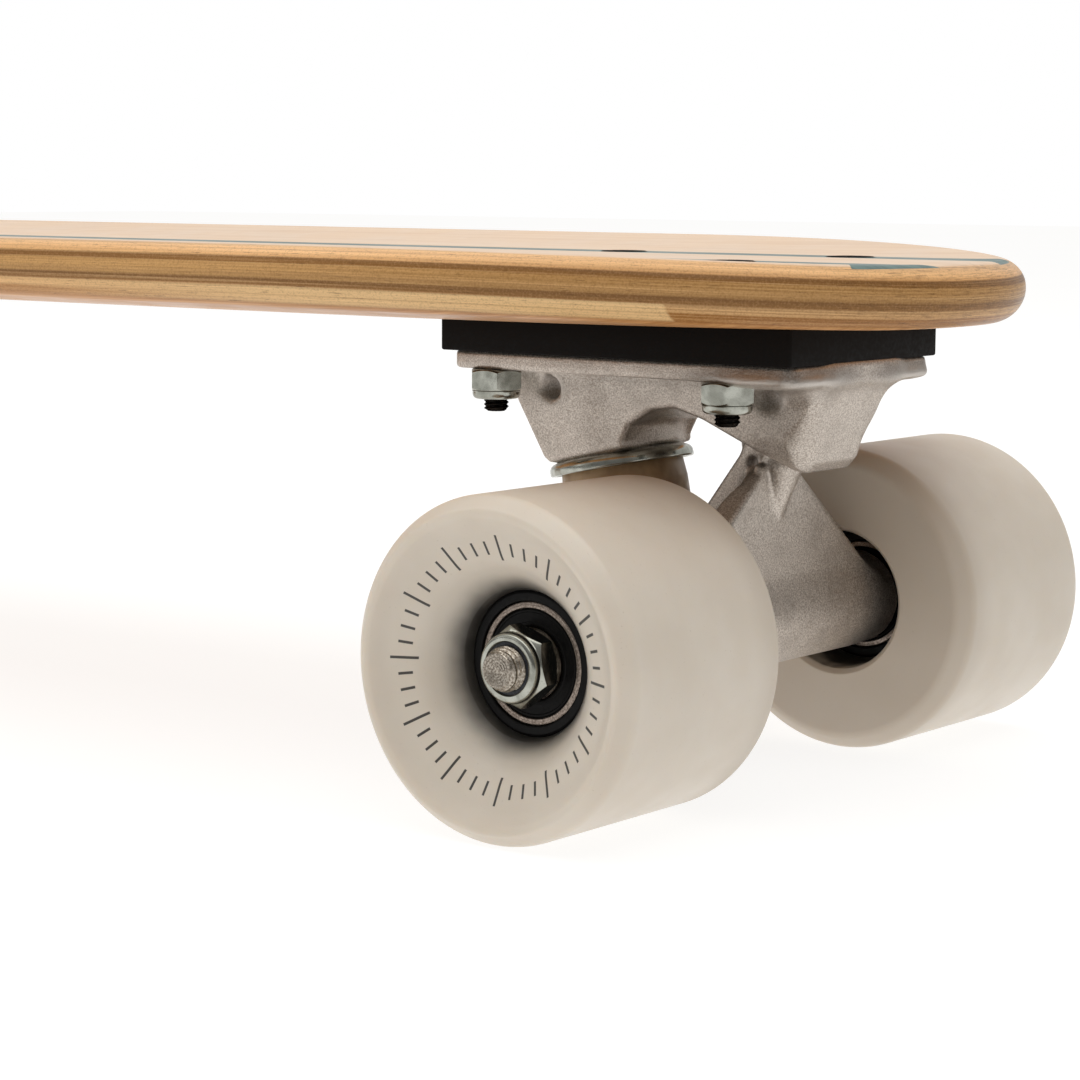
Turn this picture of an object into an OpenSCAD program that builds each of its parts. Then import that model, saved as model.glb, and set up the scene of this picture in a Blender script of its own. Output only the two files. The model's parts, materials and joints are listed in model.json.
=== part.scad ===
// Cruiser skateboard with two traditional kingpin trucks.
// +X is the nose, +Y the rider's left, +Z up. The origin is on the ground, under the middle of the deck.

/* [Deck] */
// Length of the deck, nose tip to tail tip
deck_len = 690; // [640:5:760]
// Width of the deck at its widest
deck_w = 152; // [146:1:160]
// Thickness of the glued plies
deck_t = 11.4; // [10:0.2:12]
// Rise of the rails above the flat middle
concave = 3.5; // [0:0.5:6]
// Width of the flat middle between the rails
deck_flat_w = 74; // [66:1:80]
// Rise of the tail at its tip
kick_rise = 22; // [0:1:30]

/* [Placing of the trucks] */
// Distance between the two axles
wheelbase = 480; // [440:5:500]
// Distance from the front axle to the nose tip
nose_overhang = 50; // [45:1:60]
// Thickness of the riser pads
riser_t = 7; // [3:0.5:12]

/* [Wheels] */
// Radius of the wheels
wheel_r = 30.4; // [29:0.1:32]
// Width of the wheels
wheel_w = 47.5; // [44:0.5:50]
// Radius of the rounded lips of the tread
lip_r = 3; // [2:0.5:4]

/* [Trucks] */
// Half the length of the axle
axle_half = 76.2; // [75.8:0.1:77]
// Half the width of the hanger
hanger_half = 41.5; // [41:0.1:42]
// Tilt of the kingpin from the vertical
kingpin_tilt = 12; // [10:1:14]
// Angle of the steering axis above the horizontal
steer_angle = 36; // [34:1:38]

/* [Hidden] */
$fn = 64;

// Colours
wood_colour = "burlywood";
rubber_colour = "#1c1a19";
cast_colour = "#a8a09a";
zinc_colour = "silver";
black_colour = "#202020";
urethane_colour = "ivory";
bushing_colour = "peru";
nylon_colour = "dimgray";
steel_colour = "lightsteelblue";

// Running gap between a shaft and the bore that holds it
fit_gap = 0.03;

// Heights and places shared by the two trucks, measured from the axle's centre.
// Outboard is +X on the front truck; the rear truck is its mirror image.
axle_z = wheel_r;
front_axle_x = deck_len / 2 - nose_overhang;
rear_axle_x = front_axle_x - wheelbase;
plate_top = 50.35;
flange_t = 3.45;
deck_bottom = plate_top + riser_t;
deck_top = deck_bottom + deck_t;

// Mounting bolts, number 10 size, on the usual four-hole pattern
bolt_r = 2.41;
bolt_hole_r = 2.6;
bolt_head_r = 4.75;
countersink_gap = 0.3;
bolt_head_h = 2.6;
bolt_end = 38.7;
bolt_mid_x = -17.9;
bolt_dx = 53.98;
bolt_dy = 41.28;
bolt_places = [for (x = [-0.5, 0.5], y = [-0.5, 0.5]) [bolt_mid_x + x * bolt_dx, y * bolt_dy]];

// Riser pad and baseplate flange
riser_x = [-54.1, 25.3];
riser_half = 25.6;
flange_x = [-52.3, 24.8];
flange_half = 24.2;
web_half = 12;

// Kingpin and its stack, measured down the kingpin from the face of its boss
boss_x = -30.2;
boss_z = 30.2;
kingpin_r = 4.76;
kingpin_head_af = 14.3;
kingpin_head = [-17.6, -12.4];
kingpin_end = 43;
washer_t = 1.6;
bush_r = 11.9;
bush_belly_r = 12.4;
bush_small_r = 10.8;
ring_top = 13.6;
ring_h = 10;
ring_r = 17;
seat_depth = 2;
seat_r = 12.75;
ring_hole_r = 7.5;
lower_washer = 32.4;
kingpin_nut_z = lower_washer + washer_t;

// Steering axis, from the middle of the hanger's ring up to the pivot
ring_mid = ring_top + ring_h / 2;
ring_x = boss_x + ring_mid * sin(kingpin_tilt);
ring_z = boss_z - ring_mid * cos(kingpin_tilt);
stem_r = 5;
stem_from = 38;
pivot_at = 46.5;
cup_r = 7;
cup_from = 42.5;
cup_to = 53;
cup_floor = 1.3;
pivot_hole_from = 25;

// Axle stack, measured outwards from the truck's middle along the axle
axle_r = 3.97;
axle_washer_t = 0.9;
bearing_w = 7;
bearing_gap = 10;
inner_bearing_y = hanger_half + axle_washer_t;
outer_bearing_y = inner_bearing_y + bearing_w + bearing_gap;
outer_washer_y = outer_bearing_y + bearing_w;
axle_nut_y = outer_washer_y + axle_washer_t;

// Bearing, 8 x 22 x 7 mm
bearing_r = 11;
ball_r = 1.985;
ball_pitch_r = 7.5;
ball_count = 7;
race_r = 2.02;
inner_race_r = 6.4;
outer_race_r = 8.6;
seal_r = 9.65;
seal_t = 0.8;
seal_bore_r = 6.5;

// Wheel, in its own frame: Z runs outwards along the axle from the wheel's middle
wheel_y = 55.7;
core_r = 12.9;
core_bore_r = 9.5;
bearing_z = [inner_bearing_y - wheel_y, outer_bearing_y - wheel_y];
core_z = [bearing_z[0] - 0.4, bearing_z[1] + bearing_w + 0.4];
wheel_half = wheel_w / 2;

// ---------- Placing ----------

module front_end() {
    translate([front_axle_x, 0, axle_z]) children();
}

module rear_end() {
    translate([rear_axle_x, 0, axle_z]) mirror([1, 0, 0]) children();
}

// Z runs outwards along the axle; side is 1 on the left and -1 on the right
module axle_side(side) {
    rotate([-90 * side, 0, 0]) children();
}

module both_sides() {
    for (side = [-1, 1]) axle_side(side) children();
}

module wheel_at(axle_x, side) {
    translate([axle_x, side * wheel_y, axle_z]) axle_side(side) children();
}

// Z runs down the kingpin from the face of its boss
module along_kingpin() {
    translate([boss_x, 0, boss_z]) rotate([0, 180 - kingpin_tilt, 0]) children();
}

// Z runs up the steering axis from the middle of the ring
module along_steering() {
    translate([ring_x, 0, ring_z]) rotate([0, 90 - steer_angle, 0]) children();
}

// A bar across the truck with its centre at x, z
module cross_bar(x, z, r, half) {
    translate([x, 0, z]) rotate([90, 0, 0]) cylinder(r = r, h = 2 * half, center = true, $fn = 32);
}

// ---------- Shared shapes ----------

// A ring between two radii
module tube(outer_r, inner_r, h) {
    rotate_extrude() translate([inner_r, 0]) square([outer_r - inner_r, h]);
}

// A lock nut: a hexagon with chamfered corners, then a collar that holds a nylon ring
module lock_nut(af, hex_h, collar_h, bore_r, insert_r) {
    corner_r = af / sqrt(3);
    collar_r = af / 2 - 0.4;
    chamfer = corner_r - af / 2;
    difference() {
        union() {
            intersection() {
                cylinder(r = corner_r, h = hex_h, $fn = 6);
                rotate_extrude() polygon([
                    [0, 0], [af / 2, 0], [corner_r, chamfer * 0.6],
                    [corner_r, hex_h - chamfer * 0.6], [af / 2, hex_h], [0, hex_h]
                ]);
            }
            cylinder(r = collar_r, h = hex_h + collar_h - 0.5);
            cylinder(r = collar_r - 0.5, h = hex_h + collar_h);
        }
        translate([0, 0, -1]) cylinder(r = bore_r + fit_gap, h = hex_h + collar_h + 2);
        translate([0, 0, hex_h]) cylinder(r = insert_r, h = collar_h - 0.4);
    }
}

// The nylon ring of a lock nut
module nut_insert(hex_h, collar_h, bore_r, insert_r) {
    translate([0, 0, hex_h]) tube(insert_r, bore_r + fit_gap, collar_h - 0.4);
}

// ---------- Deck ----------

nose_x = deck_len / 2;
tail_x = -deck_len / 2;
nose_round = 116;
tail_round = 130;
nose_power = 2.15;
tail_power = 2.3;
widest_x = front_axle_x - 249;
side_taper = 0.9;
taper_span = 200;
kick_from = rear_axle_x - 34;
kick_blend = 70;
edge_r = deck_t / 2;

// How far into the rounded end a place is, from 0 to 1
function end_part(x) = x > 0
    ? max(0, (x - nose_x + nose_round) / nose_round)
    : max(0, (tail_x + tail_round - x) / tail_round);

function end_power(x) = x > 0 ? nose_power : tail_power;

function end_length(x) = x > 0 ? nose_round : tail_round;

// Half width of the deck before its ends are rounded off
function side_half(x) = deck_w / 2 - side_taper * pow((x - widest_x) / taper_span, 2);

// Half width of the deck
function half_at(x) = side_half(x) * pow(max(0, 1 - pow(end_part(x), end_power(x))), 1 / end_power(x));

// Distance in from the edge of the deck
function edge_depth(x, y) =
    let (
        p = end_power(x),
        u = end_part(x),
        v = abs(y) / side_half(x),
        slope_x = pow(u, p - 1) / end_length(x),
        slope_y = pow(v, p - 1) / side_half(x)
    )
    max(0, 1 - pow(u, p) - pow(v, p)) / max(p * norm([slope_x, slope_y]), 1e-6);

// Half thickness of the deck, rounded at its edge
function half_thick(x, y) =
    let (d = min(edge_depth(x, y), edge_r)) sqrt(max(0, pow(edge_r, 2) - pow(edge_r - d, 2)));

// Rise of the concave rails and of the tail
function rail_rise(x, y) =
    let (
        k = half_at(x) / side_half(x),
        flat = deck_flat_w / 2 * k,
        rise = max(0, abs(y) - flat) / max(side_half(x) * k - flat, 1)
    )
    concave * k * k * pow(rise, 2);

function tail_rise(x) =
    let (
        run = kick_from - tail_x,
        d = max(0, kick_from - x),
        slope = kick_rise / (run - kick_blend / 2)
    )
    d < kick_blend ? slope * d * d / (2 * kick_blend) : slope * (d - kick_blend / 2);

function middle_z(x, y) = axle_z + deck_bottom + deck_t / 2 + rail_rise(x, y) + tail_rise(x);

// Stations along the deck, closer together at its round ends
end_steps = 12;
nose_stations = [for (i = [0:end_steps - 1]) nose_x - nose_round * (1 - sin(90 * (1 - i / end_steps)))];
side_stations = [
    nose_x - nose_round, widest_x, 0, rear_axle_x / 2, rear_axle_x, kick_from,
    kick_from - kick_blend / 4, kick_from - kick_blend / 2
];
tail_stations = [for (i = [0:end_steps - 1]) tail_x + tail_round * (1 - sin(90 * i / end_steps))];
stations = concat(
    [for (i = [1:end_steps - 1]) nose_stations[i]],
    side_stations,
    [for (x = tail_stations) if (x < kick_from - kick_blend / 2 - 1 && x > tail_x + 0.2) x]
);

// Places across the deck, as a share of its half width
rail_shares = [0.48, 0.6, 0.75, 0.9, 0.95, 0.98, 0.995, 1];
across = concat([for (i = [len(rail_shares) - 1:-1:0]) -rail_shares[i]], [0], rail_shares);
cols = len(across);
last = len(stations) - 1;
ring_len = 2 * cols - 2;

function deck_point(x, share, up) =
    let (y = share * half_at(x)) [x, y, middle_z(x, y) + up * half_thick(x, y)];

// One closed loop of points round the deck at a station: the underside, then the top
function deck_loop(x) = concat(
    [for (s = across) deck_point(x, s, abs(s) == 1 ? 0 : -1)],
    [for (i = [cols - 2:-1:1]) deck_point(x, across[i], 1)]
);

deck_tips = [[nose_x, 0, middle_z(nose_x, 0)], [tail_x, 0, middle_z(tail_x, 0)]];
deck_points = concat([for (x = stations) each deck_loop(x)], deck_tips);
deck_faces = concat(
    [for (i = [0:last - 1], j = [0:ring_len - 1])
        let (a = i * ring_len, b = a + ring_len, k = (j + 1) % ring_len)
        each [[a + j, a + k, b + j], [a + k, b + k, b + j]]],
    [for (j = [0:ring_len - 1]) [(last + 1) * ring_len, (j + 1) % ring_len, j]],
    [for (j = [0:ring_len - 1])
        [(last + 1) * ring_len + 1, last * ring_len + j, last * ring_len + (j + 1) % ring_len]]
);

module deck_hole() {
    translate([0, 0, deck_bottom - 1]) cylinder(r = bolt_hole_r, h = deck_t + 2);
    translate([0, 0, deck_top - bolt_head_h])
        cylinder(r1 = bolt_hole_r, r2 = bolt_head_r + countersink_gap, h = bolt_head_h);
    translate([0, 0, deck_top]) cylinder(r = bolt_head_r + countersink_gap, h = 1);
}

module deck() {
    color(wood_colour) difference() {
        polyhedron(points = deck_points, faces = deck_faces, convexity = 4);
        front_end() for (p = bolt_places) translate([p[0], p[1], 0]) deck_hole();
        rear_end() for (p = bolt_places) translate([p[0], p[1], 0]) deck_hole();
    }
}

// ---------- Riser pad, bolts and nuts ----------

module riser_pad() {
    color(rubber_colour) difference() {
        translate([riser_x[0], -riser_half, plate_top])
            cube([riser_x[1] - riser_x[0], 2 * riser_half, riser_t]);
        for (p = bolt_places)
            translate([p[0], p[1], plate_top - 1]) cylinder(r = bolt_hole_r, h = riser_t + 2);
    }
}

mount_nut_af = 9.5;
mount_nut_hex = 4.2;
mount_nut_collar = 1.6;
mount_insert_r = 3.5;
recess_w = 0.9;
recess_len = 4.8;
recess_depth = 1.6;

module mounting_bolt() {
    head_top = deck_top - 0.15;
    difference() {
        union() {
            translate([0, 0, head_top - bolt_head_h])
                cylinder(r1 = bolt_r, r2 = bolt_head_r, h = bolt_head_h);
            translate([0, 0, bolt_end]) cylinder(r = bolt_r, h = head_top - bolt_head_h - bolt_end);
        }
        for (turn = [0, 90])
            rotate([0, 0, turn])
                translate([-recess_len / 2, -recess_w / 2, head_top - recess_depth])
                    cube([recess_len, recess_w, recess_depth + 1]);
    }
}

module mounting_bolts() {
    color(black_colour) for (p = bolt_places) translate([p[0], p[1], 0]) mounting_bolt();
}

module at_mount_nuts() {
    for (p = bolt_places) translate([p[0], p[1], plate_top - flange_t]) rotate([180, 0, 0]) children();
}

module mounting_nuts() {
    color(zinc_colour) at_mount_nuts()
        lock_nut(mount_nut_af, mount_nut_hex, mount_nut_collar, bolt_r, mount_insert_r);
}

// ---------- Baseplate ----------

// Side view of the web that joins the kingpin boss to the pivot boss
arch_x = -10.2;
arch_z = 29.5;
arch_r = 11.3;
// The pivot end's lower edges are rounded like the bottom of a bowl
pivot_end_z = 29.6;
pivot_end_round = 4.5;
web_profile = concat(
    [[flange_x[0] + 1.5, plate_top - 1], [-46.7, 39.8], [-40.4, 29.2],
     [-39, boss_z - 8.8 * tan(kingpin_tilt)], [-21, boss_z + 9.2 * tan(kingpin_tilt)]],
    [for (a = [165:-10:55]) [arch_x + arch_r * cos(a), arch_z + arch_r * sin(a)]],
    [[12.4, 31.4], [15.2, pivot_end_z + 0.3], [17.6, pivot_end_z], [19.4, 31.6], [21, 37.4], [22.8, 43.4],
     [flange_x[1] - 0.4, plate_top - 1]]
);

module rounded_plate(x, half, corner, h) {
    linear_extrude(h) {
        translate([x[0] + corner, -half]) square([x[1] - x[0] - 2 * corner, 2 * half]);
        translate([x[0], -half + corner]) square([x[1] - x[0], 2 * (half - corner)]);
        for (cx = [x[0] + corner, x[1] - corner], cy = [-half + corner, half - corner])
            translate([cx, cy]) circle(r = corner);
    }
}

module pivot_end() {
    hull() {
        for (y = [-1, 1] * (web_half - pivot_end_round))
            translate([7.9, y, pivot_end_z + pivot_end_round]) rotate([0, 90, 0])
                cylinder(r = pivot_end_round, h = 20, $fn = 32);
        translate([7.9, -web_half, plate_top - 5]) cube([20, 2 * web_half, 5]);
    }
}

module baseplate() {
    color(cast_colour) difference() {
        union() {
            translate([0, 0, plate_top - flange_t]) rounded_plate(flange_x, flange_half, 3, flange_t);
            intersection() {
                rotate([90, 0, 0]) linear_extrude(2 * web_half, center = true) polygon(web_profile);
                union() {
                    translate([-60, -web_half, 0]) cube([68, 2 * web_half, plate_top]);
                    pivot_end();
                }
            }
            intersection() {
                along_kingpin() translate([0, 0, -24]) cylinder(r1 = 14.6, r2 = 12.2, h = 24);
                translate([-60, -30, 0]) cube([80, 60, plate_top - 1]);
            }
        }
        along_kingpin() translate([0, 0, -30]) cylinder(r = kingpin_r + 0.1, h = 40);
        along_kingpin() translate([0, 0, kingpin_head[0] - 20])
            cylinder(r = kingpin_head_af / sqrt(3) + 0.3, h = 20 + kingpin_head[1] - kingpin_head[0]);
        along_steering() translate([0, 0, pivot_hole_from])
            cylinder(r = cup_r, h = cup_to - pivot_hole_from);
        for (p = bolt_places)
            translate([p[0], p[1], plate_top - flange_t - 1]) cylinder(r = bolt_hole_r, h = flange_t + 2);
    }
}

// ---------- Kingpin and bushings ----------

kingpin_nut_hex = 5.6;
kingpin_nut_collar = 2;
kingpin_insert_r = 5.9;

module kingpin() {
    color(zinc_colour) along_kingpin() {
        translate([0, 0, kingpin_head[0]])
            cylinder(r = kingpin_head_af / sqrt(3), h = kingpin_head[1] - kingpin_head[0], $fn = 6);
        translate([0, 0, kingpin_head[1]]) cylinder(r = kingpin_r, h = kingpin_end - kingpin_head[1] - 1);
        translate([0, 0, kingpin_end - 1]) cylinder(r1 = kingpin_r, r2 = kingpin_r - 0.8, h = 1);
    }
}

module kingpin_nut() {
    color(zinc_colour) along_kingpin() translate([0, 0, kingpin_nut_z])
        lock_nut(kingpin_head_af, kingpin_nut_hex, kingpin_nut_collar, kingpin_r, kingpin_insert_r);
}

// A cupped washer, its rim turned towards +Z
module cup_washer(seat, rim) {
    bore = kingpin_r + 0.14;
    rotate_extrude() polygon([
        [bore, 0], [seat - 0.4, 0], [rim, washer_t], [rim, washer_t + 1.4], [rim - 0.6, washer_t + 1.4],
        [seat + 0.15, washer_t], [bore, washer_t]
    ]);
}

module kingpin_washers() {
    color(zinc_colour) along_kingpin() {
        cup_washer(bush_r, 14.3);
        translate([0, 0, lower_washer + washer_t]) mirror([0, 0, 1]) cup_washer(bush_small_r, 12.6);
    }
}

module upper_bushing() {
    seat = ring_top + seat_depth;
    bore = kingpin_r + 0.2;
    color(bushing_colour) along_kingpin() rotate_extrude() polygon([
        [bore, washer_t], [bush_r, washer_t], [bush_belly_r, washer_t + 3],
        [bush_belly_r, seat - 1], [bush_belly_r - 1, seat], [bore, seat]
    ]);
}

module lower_bushing() {
    seat = ring_top + ring_h - seat_depth;
    bore = kingpin_r + 0.2;
    color(bushing_colour) along_kingpin() rotate_extrude() polygon([
        [bore, seat], [bush_belly_r - 1, seat], [bush_belly_r, seat + 1],
        [bush_small_r, lower_washer], [bore, lower_washer]
    ]);
}

module pivot_cup() {
    color(black_colour) along_steering() translate([0, 0, cup_from]) difference() {
        cylinder(r = cup_r - 0.02, h = cup_to - cup_from);
        translate([0, 0, -1]) cylinder(r = stem_r + 0.05, h = cup_to - cup_from + 1 - cup_floor);
    }
}

// Nylon rings of the nuts that hold the trucks together
module truck_inserts() {
    at_mount_nuts() nut_insert(mount_nut_hex, mount_nut_collar, bolt_r, mount_insert_r);
    along_kingpin() translate([0, 0, kingpin_nut_z])
        nut_insert(kingpin_nut_hex, kingpin_nut_collar, kingpin_r, kingpin_insert_r);
}

module locknut_inserts() {
    color(nylon_colour) {
        front_end() truck_inserts();
        rear_end() truck_inserts();
    }
}

// ---------- Hanger ----------

barrel_r = 9.6;
neck_x = 5.4;
neck_z = 29;
neck_r = 1.9;
neck_half = 6.2;
rib_half = 4.9;
// The wing narrows from nearly the whole barrel's length to the neck
wing_half = hanger_half - 0.2;
wing_foot_x = 3;
wing_foot_r = 4.8;
// A ridge runs down the middle of the wing from the stem
ridge_foot = [5.6, 19.5];
ridge_top = [7.4, 29.7];
// Space under the ring for the washer and nut, wider across the truck because the hanger leans
nut_room_r = 13.6;
nut_room = 1.4;

module ring_body(r, margin) {
    along_kingpin() translate([0, 0, ring_top + margin])
        cylinder(r = r, h = ring_h - 2 * margin, $fn = 32);
}

module hanger() {
    color(cast_colour) difference() {
        union() {
            both_sides() rotate_extrude() polygon([
                [0, 0], [barrel_r, 0], [barrel_r, hanger_half - 8], [9.3, hanger_half - 1], [8.7, hanger_half],
                [0, hanger_half]
            ]);
            hull() {
                cross_bar(wing_foot_x, 0, wing_foot_r, wing_half);
                cross_bar(neck_x, neck_z, neck_r, neck_half);
            }
            hull() {
                cross_bar(4.9, 33, 2.5, rib_half);
                cross_bar(-8.5, 14, 3, rib_half);
            }
            hull() {
                cross_bar(neck_x, neck_z, neck_r, rib_half);
                along_steering() translate([0, 0, stem_from]) sphere(r = stem_r, $fn = 32);
            }
            hull() {
                translate([ridge_foot[0], 0, ridge_foot[1]]) sphere(r = 1.6, $fn = 32);
                translate([ridge_top[0], 0, ridge_top[1]]) sphere(r = 4.2, $fn = 32);
            }
            hull() {
                cross_bar(0, 0, barrel_r - 1.6, 16);
                ring_body(14, 1);
            }
            along_kingpin() translate([0, 0, ring_top]) cylinder(r = ring_r, h = ring_h);
            along_steering() translate([0, 0, stem_from]) cylinder(r = stem_r, h = pivot_at - stem_from);
            along_steering() translate([0, 0, pivot_at]) sphere(r = stem_r);
        }
        rotate([90, 0, 0]) cylinder(r = axle_r + fit_gap, h = 4 * hanger_half, center = true);
        along_kingpin() {
            translate([0, 0, ring_top - 1]) cylinder(r = seat_r, h = seat_depth + 1);
            translate([0, 0, ring_top]) cylinder(r = ring_hole_r, h = ring_h);
            translate([0, 0, ring_top + ring_h - seat_depth]) cylinder(r = seat_r, h = seat_depth + 1);
            translate([0, 0, ring_top + ring_h])
                scale([1, nut_room, 1]) cylinder(r = nut_room_r, h = kingpin_end - ring_top);
        }
    }
}

module axle() {
    tip = 1;
    color(steel_colour) {
        rotate([90, 0, 0]) cylinder(r = axle_r, h = 2 * (axle_half - tip), center = true);
        both_sides() translate([0, 0, axle_half - tip]) cylinder(r1 = axle_r, r2 = axle_r - 0.8, h = tip);
    }
}

axle_nut_af = 12.7;
axle_nut_hex = 4.4;
axle_nut_collar = 1.7;
axle_insert_r = 5;

module axle_nuts() {
    color(zinc_colour) both_sides() translate([0, 0, axle_nut_y])
        lock_nut(axle_nut_af, axle_nut_hex, axle_nut_collar, axle_r, axle_insert_r);
}

module axle_nut_inserts() {
    color(nylon_colour) both_sides() translate([0, 0, axle_nut_y])
        nut_insert(axle_nut_hex, axle_nut_collar, axle_r, axle_insert_r);
}

module axle_washers() {
    color(zinc_colour) both_sides() for (z = [hanger_half, outer_washer_y])
        translate([0, 0, z]) tube(inner_race_r - 0.4, axle_r + fit_gap, axle_washer_t);
}

module bearing_spacers() {
    color(zinc_colour) both_sides() translate([0, 0, inner_bearing_y + bearing_w])
        tube(inner_race_r - 0.6, axle_r + fit_gap, bearing_gap);
}

// ---------- Bearings ----------

// The circle that the balls' groove cuts from a ring
module groove() {
    rotate_extrude() translate([ball_pitch_r, bearing_w / 2]) circle(r = race_r);
}

module inner_ring() {
    difference() {
        tube(inner_race_r, axle_r + fit_gap, bearing_w);
        groove();
    }
}

module outer_ring() {
    difference() {
        tube(bearing_r - fit_gap, outer_race_r, bearing_w);
        groove();
        for (z = [-0.1, bearing_w - seal_t]) translate([0, 0, z]) cylinder(r = seal_r, h = seal_t + 0.1);
    }
}

module ball_places() {
    for (i = [0:ball_count - 1])
        rotate([0, 0, i * 360 / ball_count]) translate([ball_pitch_r, 0, bearing_w / 2]) children();
}

module cage() {
    difference() {
        translate([0, 0, seal_t + 0.4])
            tube(outer_race_r - 0.3, inner_race_r + 0.3, bearing_w / 2 - seal_t + 0.2);
        ball_places() sphere(r = ball_r + 0.06);
    }
}

module bearing_inner_rings() {
    color(steel_colour) both_sides() for (z = [inner_bearing_y, outer_bearing_y])
        translate([0, 0, z]) inner_ring();
}

module bearing_outer_rings() {
    color(steel_colour) for (z = bearing_z) translate([0, 0, z]) outer_ring();
}

module bearing_seals() {
    color(black_colour) for (z = bearing_z, end = [0, bearing_w - seal_t])
        translate([0, 0, z + end]) tube(seal_r - 0.02, seal_bore_r, seal_t);
}

module bearing_balls() {
    color(steel_colour) for (z = bearing_z) translate([0, 0, z]) ball_places() sphere(r = ball_r);
}

module bearing_cages() {
    color(nylon_colour) for (z = bearing_z) translate([0, 0, z]) cage();
}

// ---------- Wheels ----------

lip_steps = 6;

// Points of a rounded lip, from the side face round to the tread
function lip(side) = [for (i = [0:lip_steps])
    let (a = 90 * i / lip_steps)
    [wheel_r - lip_r + lip_r * sin(a), side * (wheel_half - lip_r + lip_r * cos(a))]];

function backwards(list) = [for (i = [len(list) - 1:-1:0]) list[i]];

// Half section of the urethane: the dished outer face, the tread, then the flat inner face and its recess
wheel_section = concat(
    [[core_r, core_z[0]], [core_r, core_z[1]], [13.6, core_z[1] + 1.6], [18.4, 18.6], [24.2, 21.4]],
    lip(1),
    backwards(lip(-1)),
    [[16.4, -wheel_half], [14.4, -wheel_half + 1.4], [13.4, core_z[0] - 1]]
);

module wheel() {
    color(urethane_colour) rotate_extrude() polygon(wheel_section);
}

module wheel_core() {
    color(black_colour) difference() {
        translate([0, 0, core_z[0]]) cylinder(r = core_r - 0.01, h = core_z[1] - core_z[0]);
        translate([0, 0, core_z[0] - 1]) cylinder(r = core_bore_r, h = core_z[1] - core_z[0] + 2);
        translate([0, 0, core_z[0] - 1])
            cylinder(r = bearing_r, h = bearing_z[0] + bearing_w - core_z[0] + 1);
        translate([0, 0, bearing_z[1]]) cylinder(r = bearing_r, h = bearing_w + 2);
    }
}

// ---------- Sub-parts ----------

module front_riser_pad() { front_end() riser_pad(); }
module front_baseplate() { front_end() baseplate(); }
module front_mounting_bolts() { front_end() mounting_bolts(); }
module front_mounting_nuts() { front_end() mounting_nuts(); }
module front_kingpin() { front_end() kingpin(); }
module front_kingpin_nut() { front_end() kingpin_nut(); }
module front_kingpin_washers() { front_end() kingpin_washers(); }
module front_upper_bushing() { front_end() upper_bushing(); }
module front_lower_bushing() { front_end() lower_bushing(); }
module front_pivot_cup() { front_end() pivot_cup(); }
module front_hanger() { front_end() hanger(); }
module front_axle() { front_end() axle(); }
module front_axle_nuts() { front_end() axle_nuts(); }
module front_axle_nut_inserts() { front_end() axle_nut_inserts(); }
module front_axle_washers() { front_end() axle_washers(); }
module front_bearing_spacers() { front_end() bearing_spacers(); }
module front_bearing_inner_rings() { front_end() bearing_inner_rings(); }

module rear_riser_pad() { rear_end() riser_pad(); }
module rear_baseplate() { rear_end() baseplate(); }
module rear_mounting_bolts() { rear_end() mounting_bolts(); }
module rear_mounting_nuts() { rear_end() mounting_nuts(); }
module rear_kingpin() { rear_end() kingpin(); }
module rear_kingpin_nut() { rear_end() kingpin_nut(); }
module rear_kingpin_washers() { rear_end() kingpin_washers(); }
module rear_upper_bushing() { rear_end() upper_bushing(); }
module rear_lower_bushing() { rear_end() lower_bushing(); }
module rear_pivot_cup() { rear_end() pivot_cup(); }
module rear_hanger() { rear_end() hanger(); }
module rear_axle() { rear_end() axle(); }
module rear_axle_nuts() { rear_end() axle_nuts(); }
module rear_axle_nut_inserts() { rear_end() axle_nut_inserts(); }
module rear_axle_washers() { rear_end() axle_washers(); }
module rear_bearing_spacers() { rear_end() bearing_spacers(); }
module rear_bearing_inner_rings() { rear_end() bearing_inner_rings(); }

module front_left_wheel() { wheel_at(front_axle_x, 1) wheel(); }
module front_left_wheel_core() { wheel_at(front_axle_x, 1) wheel_core(); }
module front_left_bearing_outer_rings() { wheel_at(front_axle_x, 1) bearing_outer_rings(); }
module front_left_bearing_seals() { wheel_at(front_axle_x, 1) bearing_seals(); }
module front_left_bearing_balls() { wheel_at(front_axle_x, 1) bearing_balls(); }
module front_left_bearing_cages() { wheel_at(front_axle_x, 1) bearing_cages(); }
module front_right_wheel() { wheel_at(front_axle_x, -1) wheel(); }
module front_right_wheel_core() { wheel_at(front_axle_x, -1) wheel_core(); }
module front_right_bearing_outer_rings() { wheel_at(front_axle_x, -1) bearing_outer_rings(); }
module front_right_bearing_seals() { wheel_at(front_axle_x, -1) bearing_seals(); }
module front_right_bearing_balls() { wheel_at(front_axle_x, -1) bearing_balls(); }
module front_right_bearing_cages() { wheel_at(front_axle_x, -1) bearing_cages(); }
module rear_left_wheel() { wheel_at(rear_axle_x, 1) wheel(); }
module rear_left_wheel_core() { wheel_at(rear_axle_x, 1) wheel_core(); }
module rear_left_bearing_outer_rings() { wheel_at(rear_axle_x, 1) bearing_outer_rings(); }
module rear_left_bearing_seals() { wheel_at(rear_axle_x, 1) bearing_seals(); }
module rear_left_bearing_balls() { wheel_at(rear_axle_x, 1) bearing_balls(); }
module rear_left_bearing_cages() { wheel_at(rear_axle_x, 1) bearing_cages(); }
module rear_right_wheel() { wheel_at(rear_axle_x, -1) wheel(); }
module rear_right_wheel_core() { wheel_at(rear_axle_x, -1) wheel_core(); }
module rear_right_bearing_outer_rings() { wheel_at(rear_axle_x, -1) bearing_outer_rings(); }
module rear_right_bearing_seals() { wheel_at(rear_axle_x, -1) bearing_seals(); }
module rear_right_bearing_balls() { wheel_at(rear_axle_x, -1) bearing_balls(); }
module rear_right_bearing_cages() { wheel_at(rear_axle_x, -1) bearing_cages(); }

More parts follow.
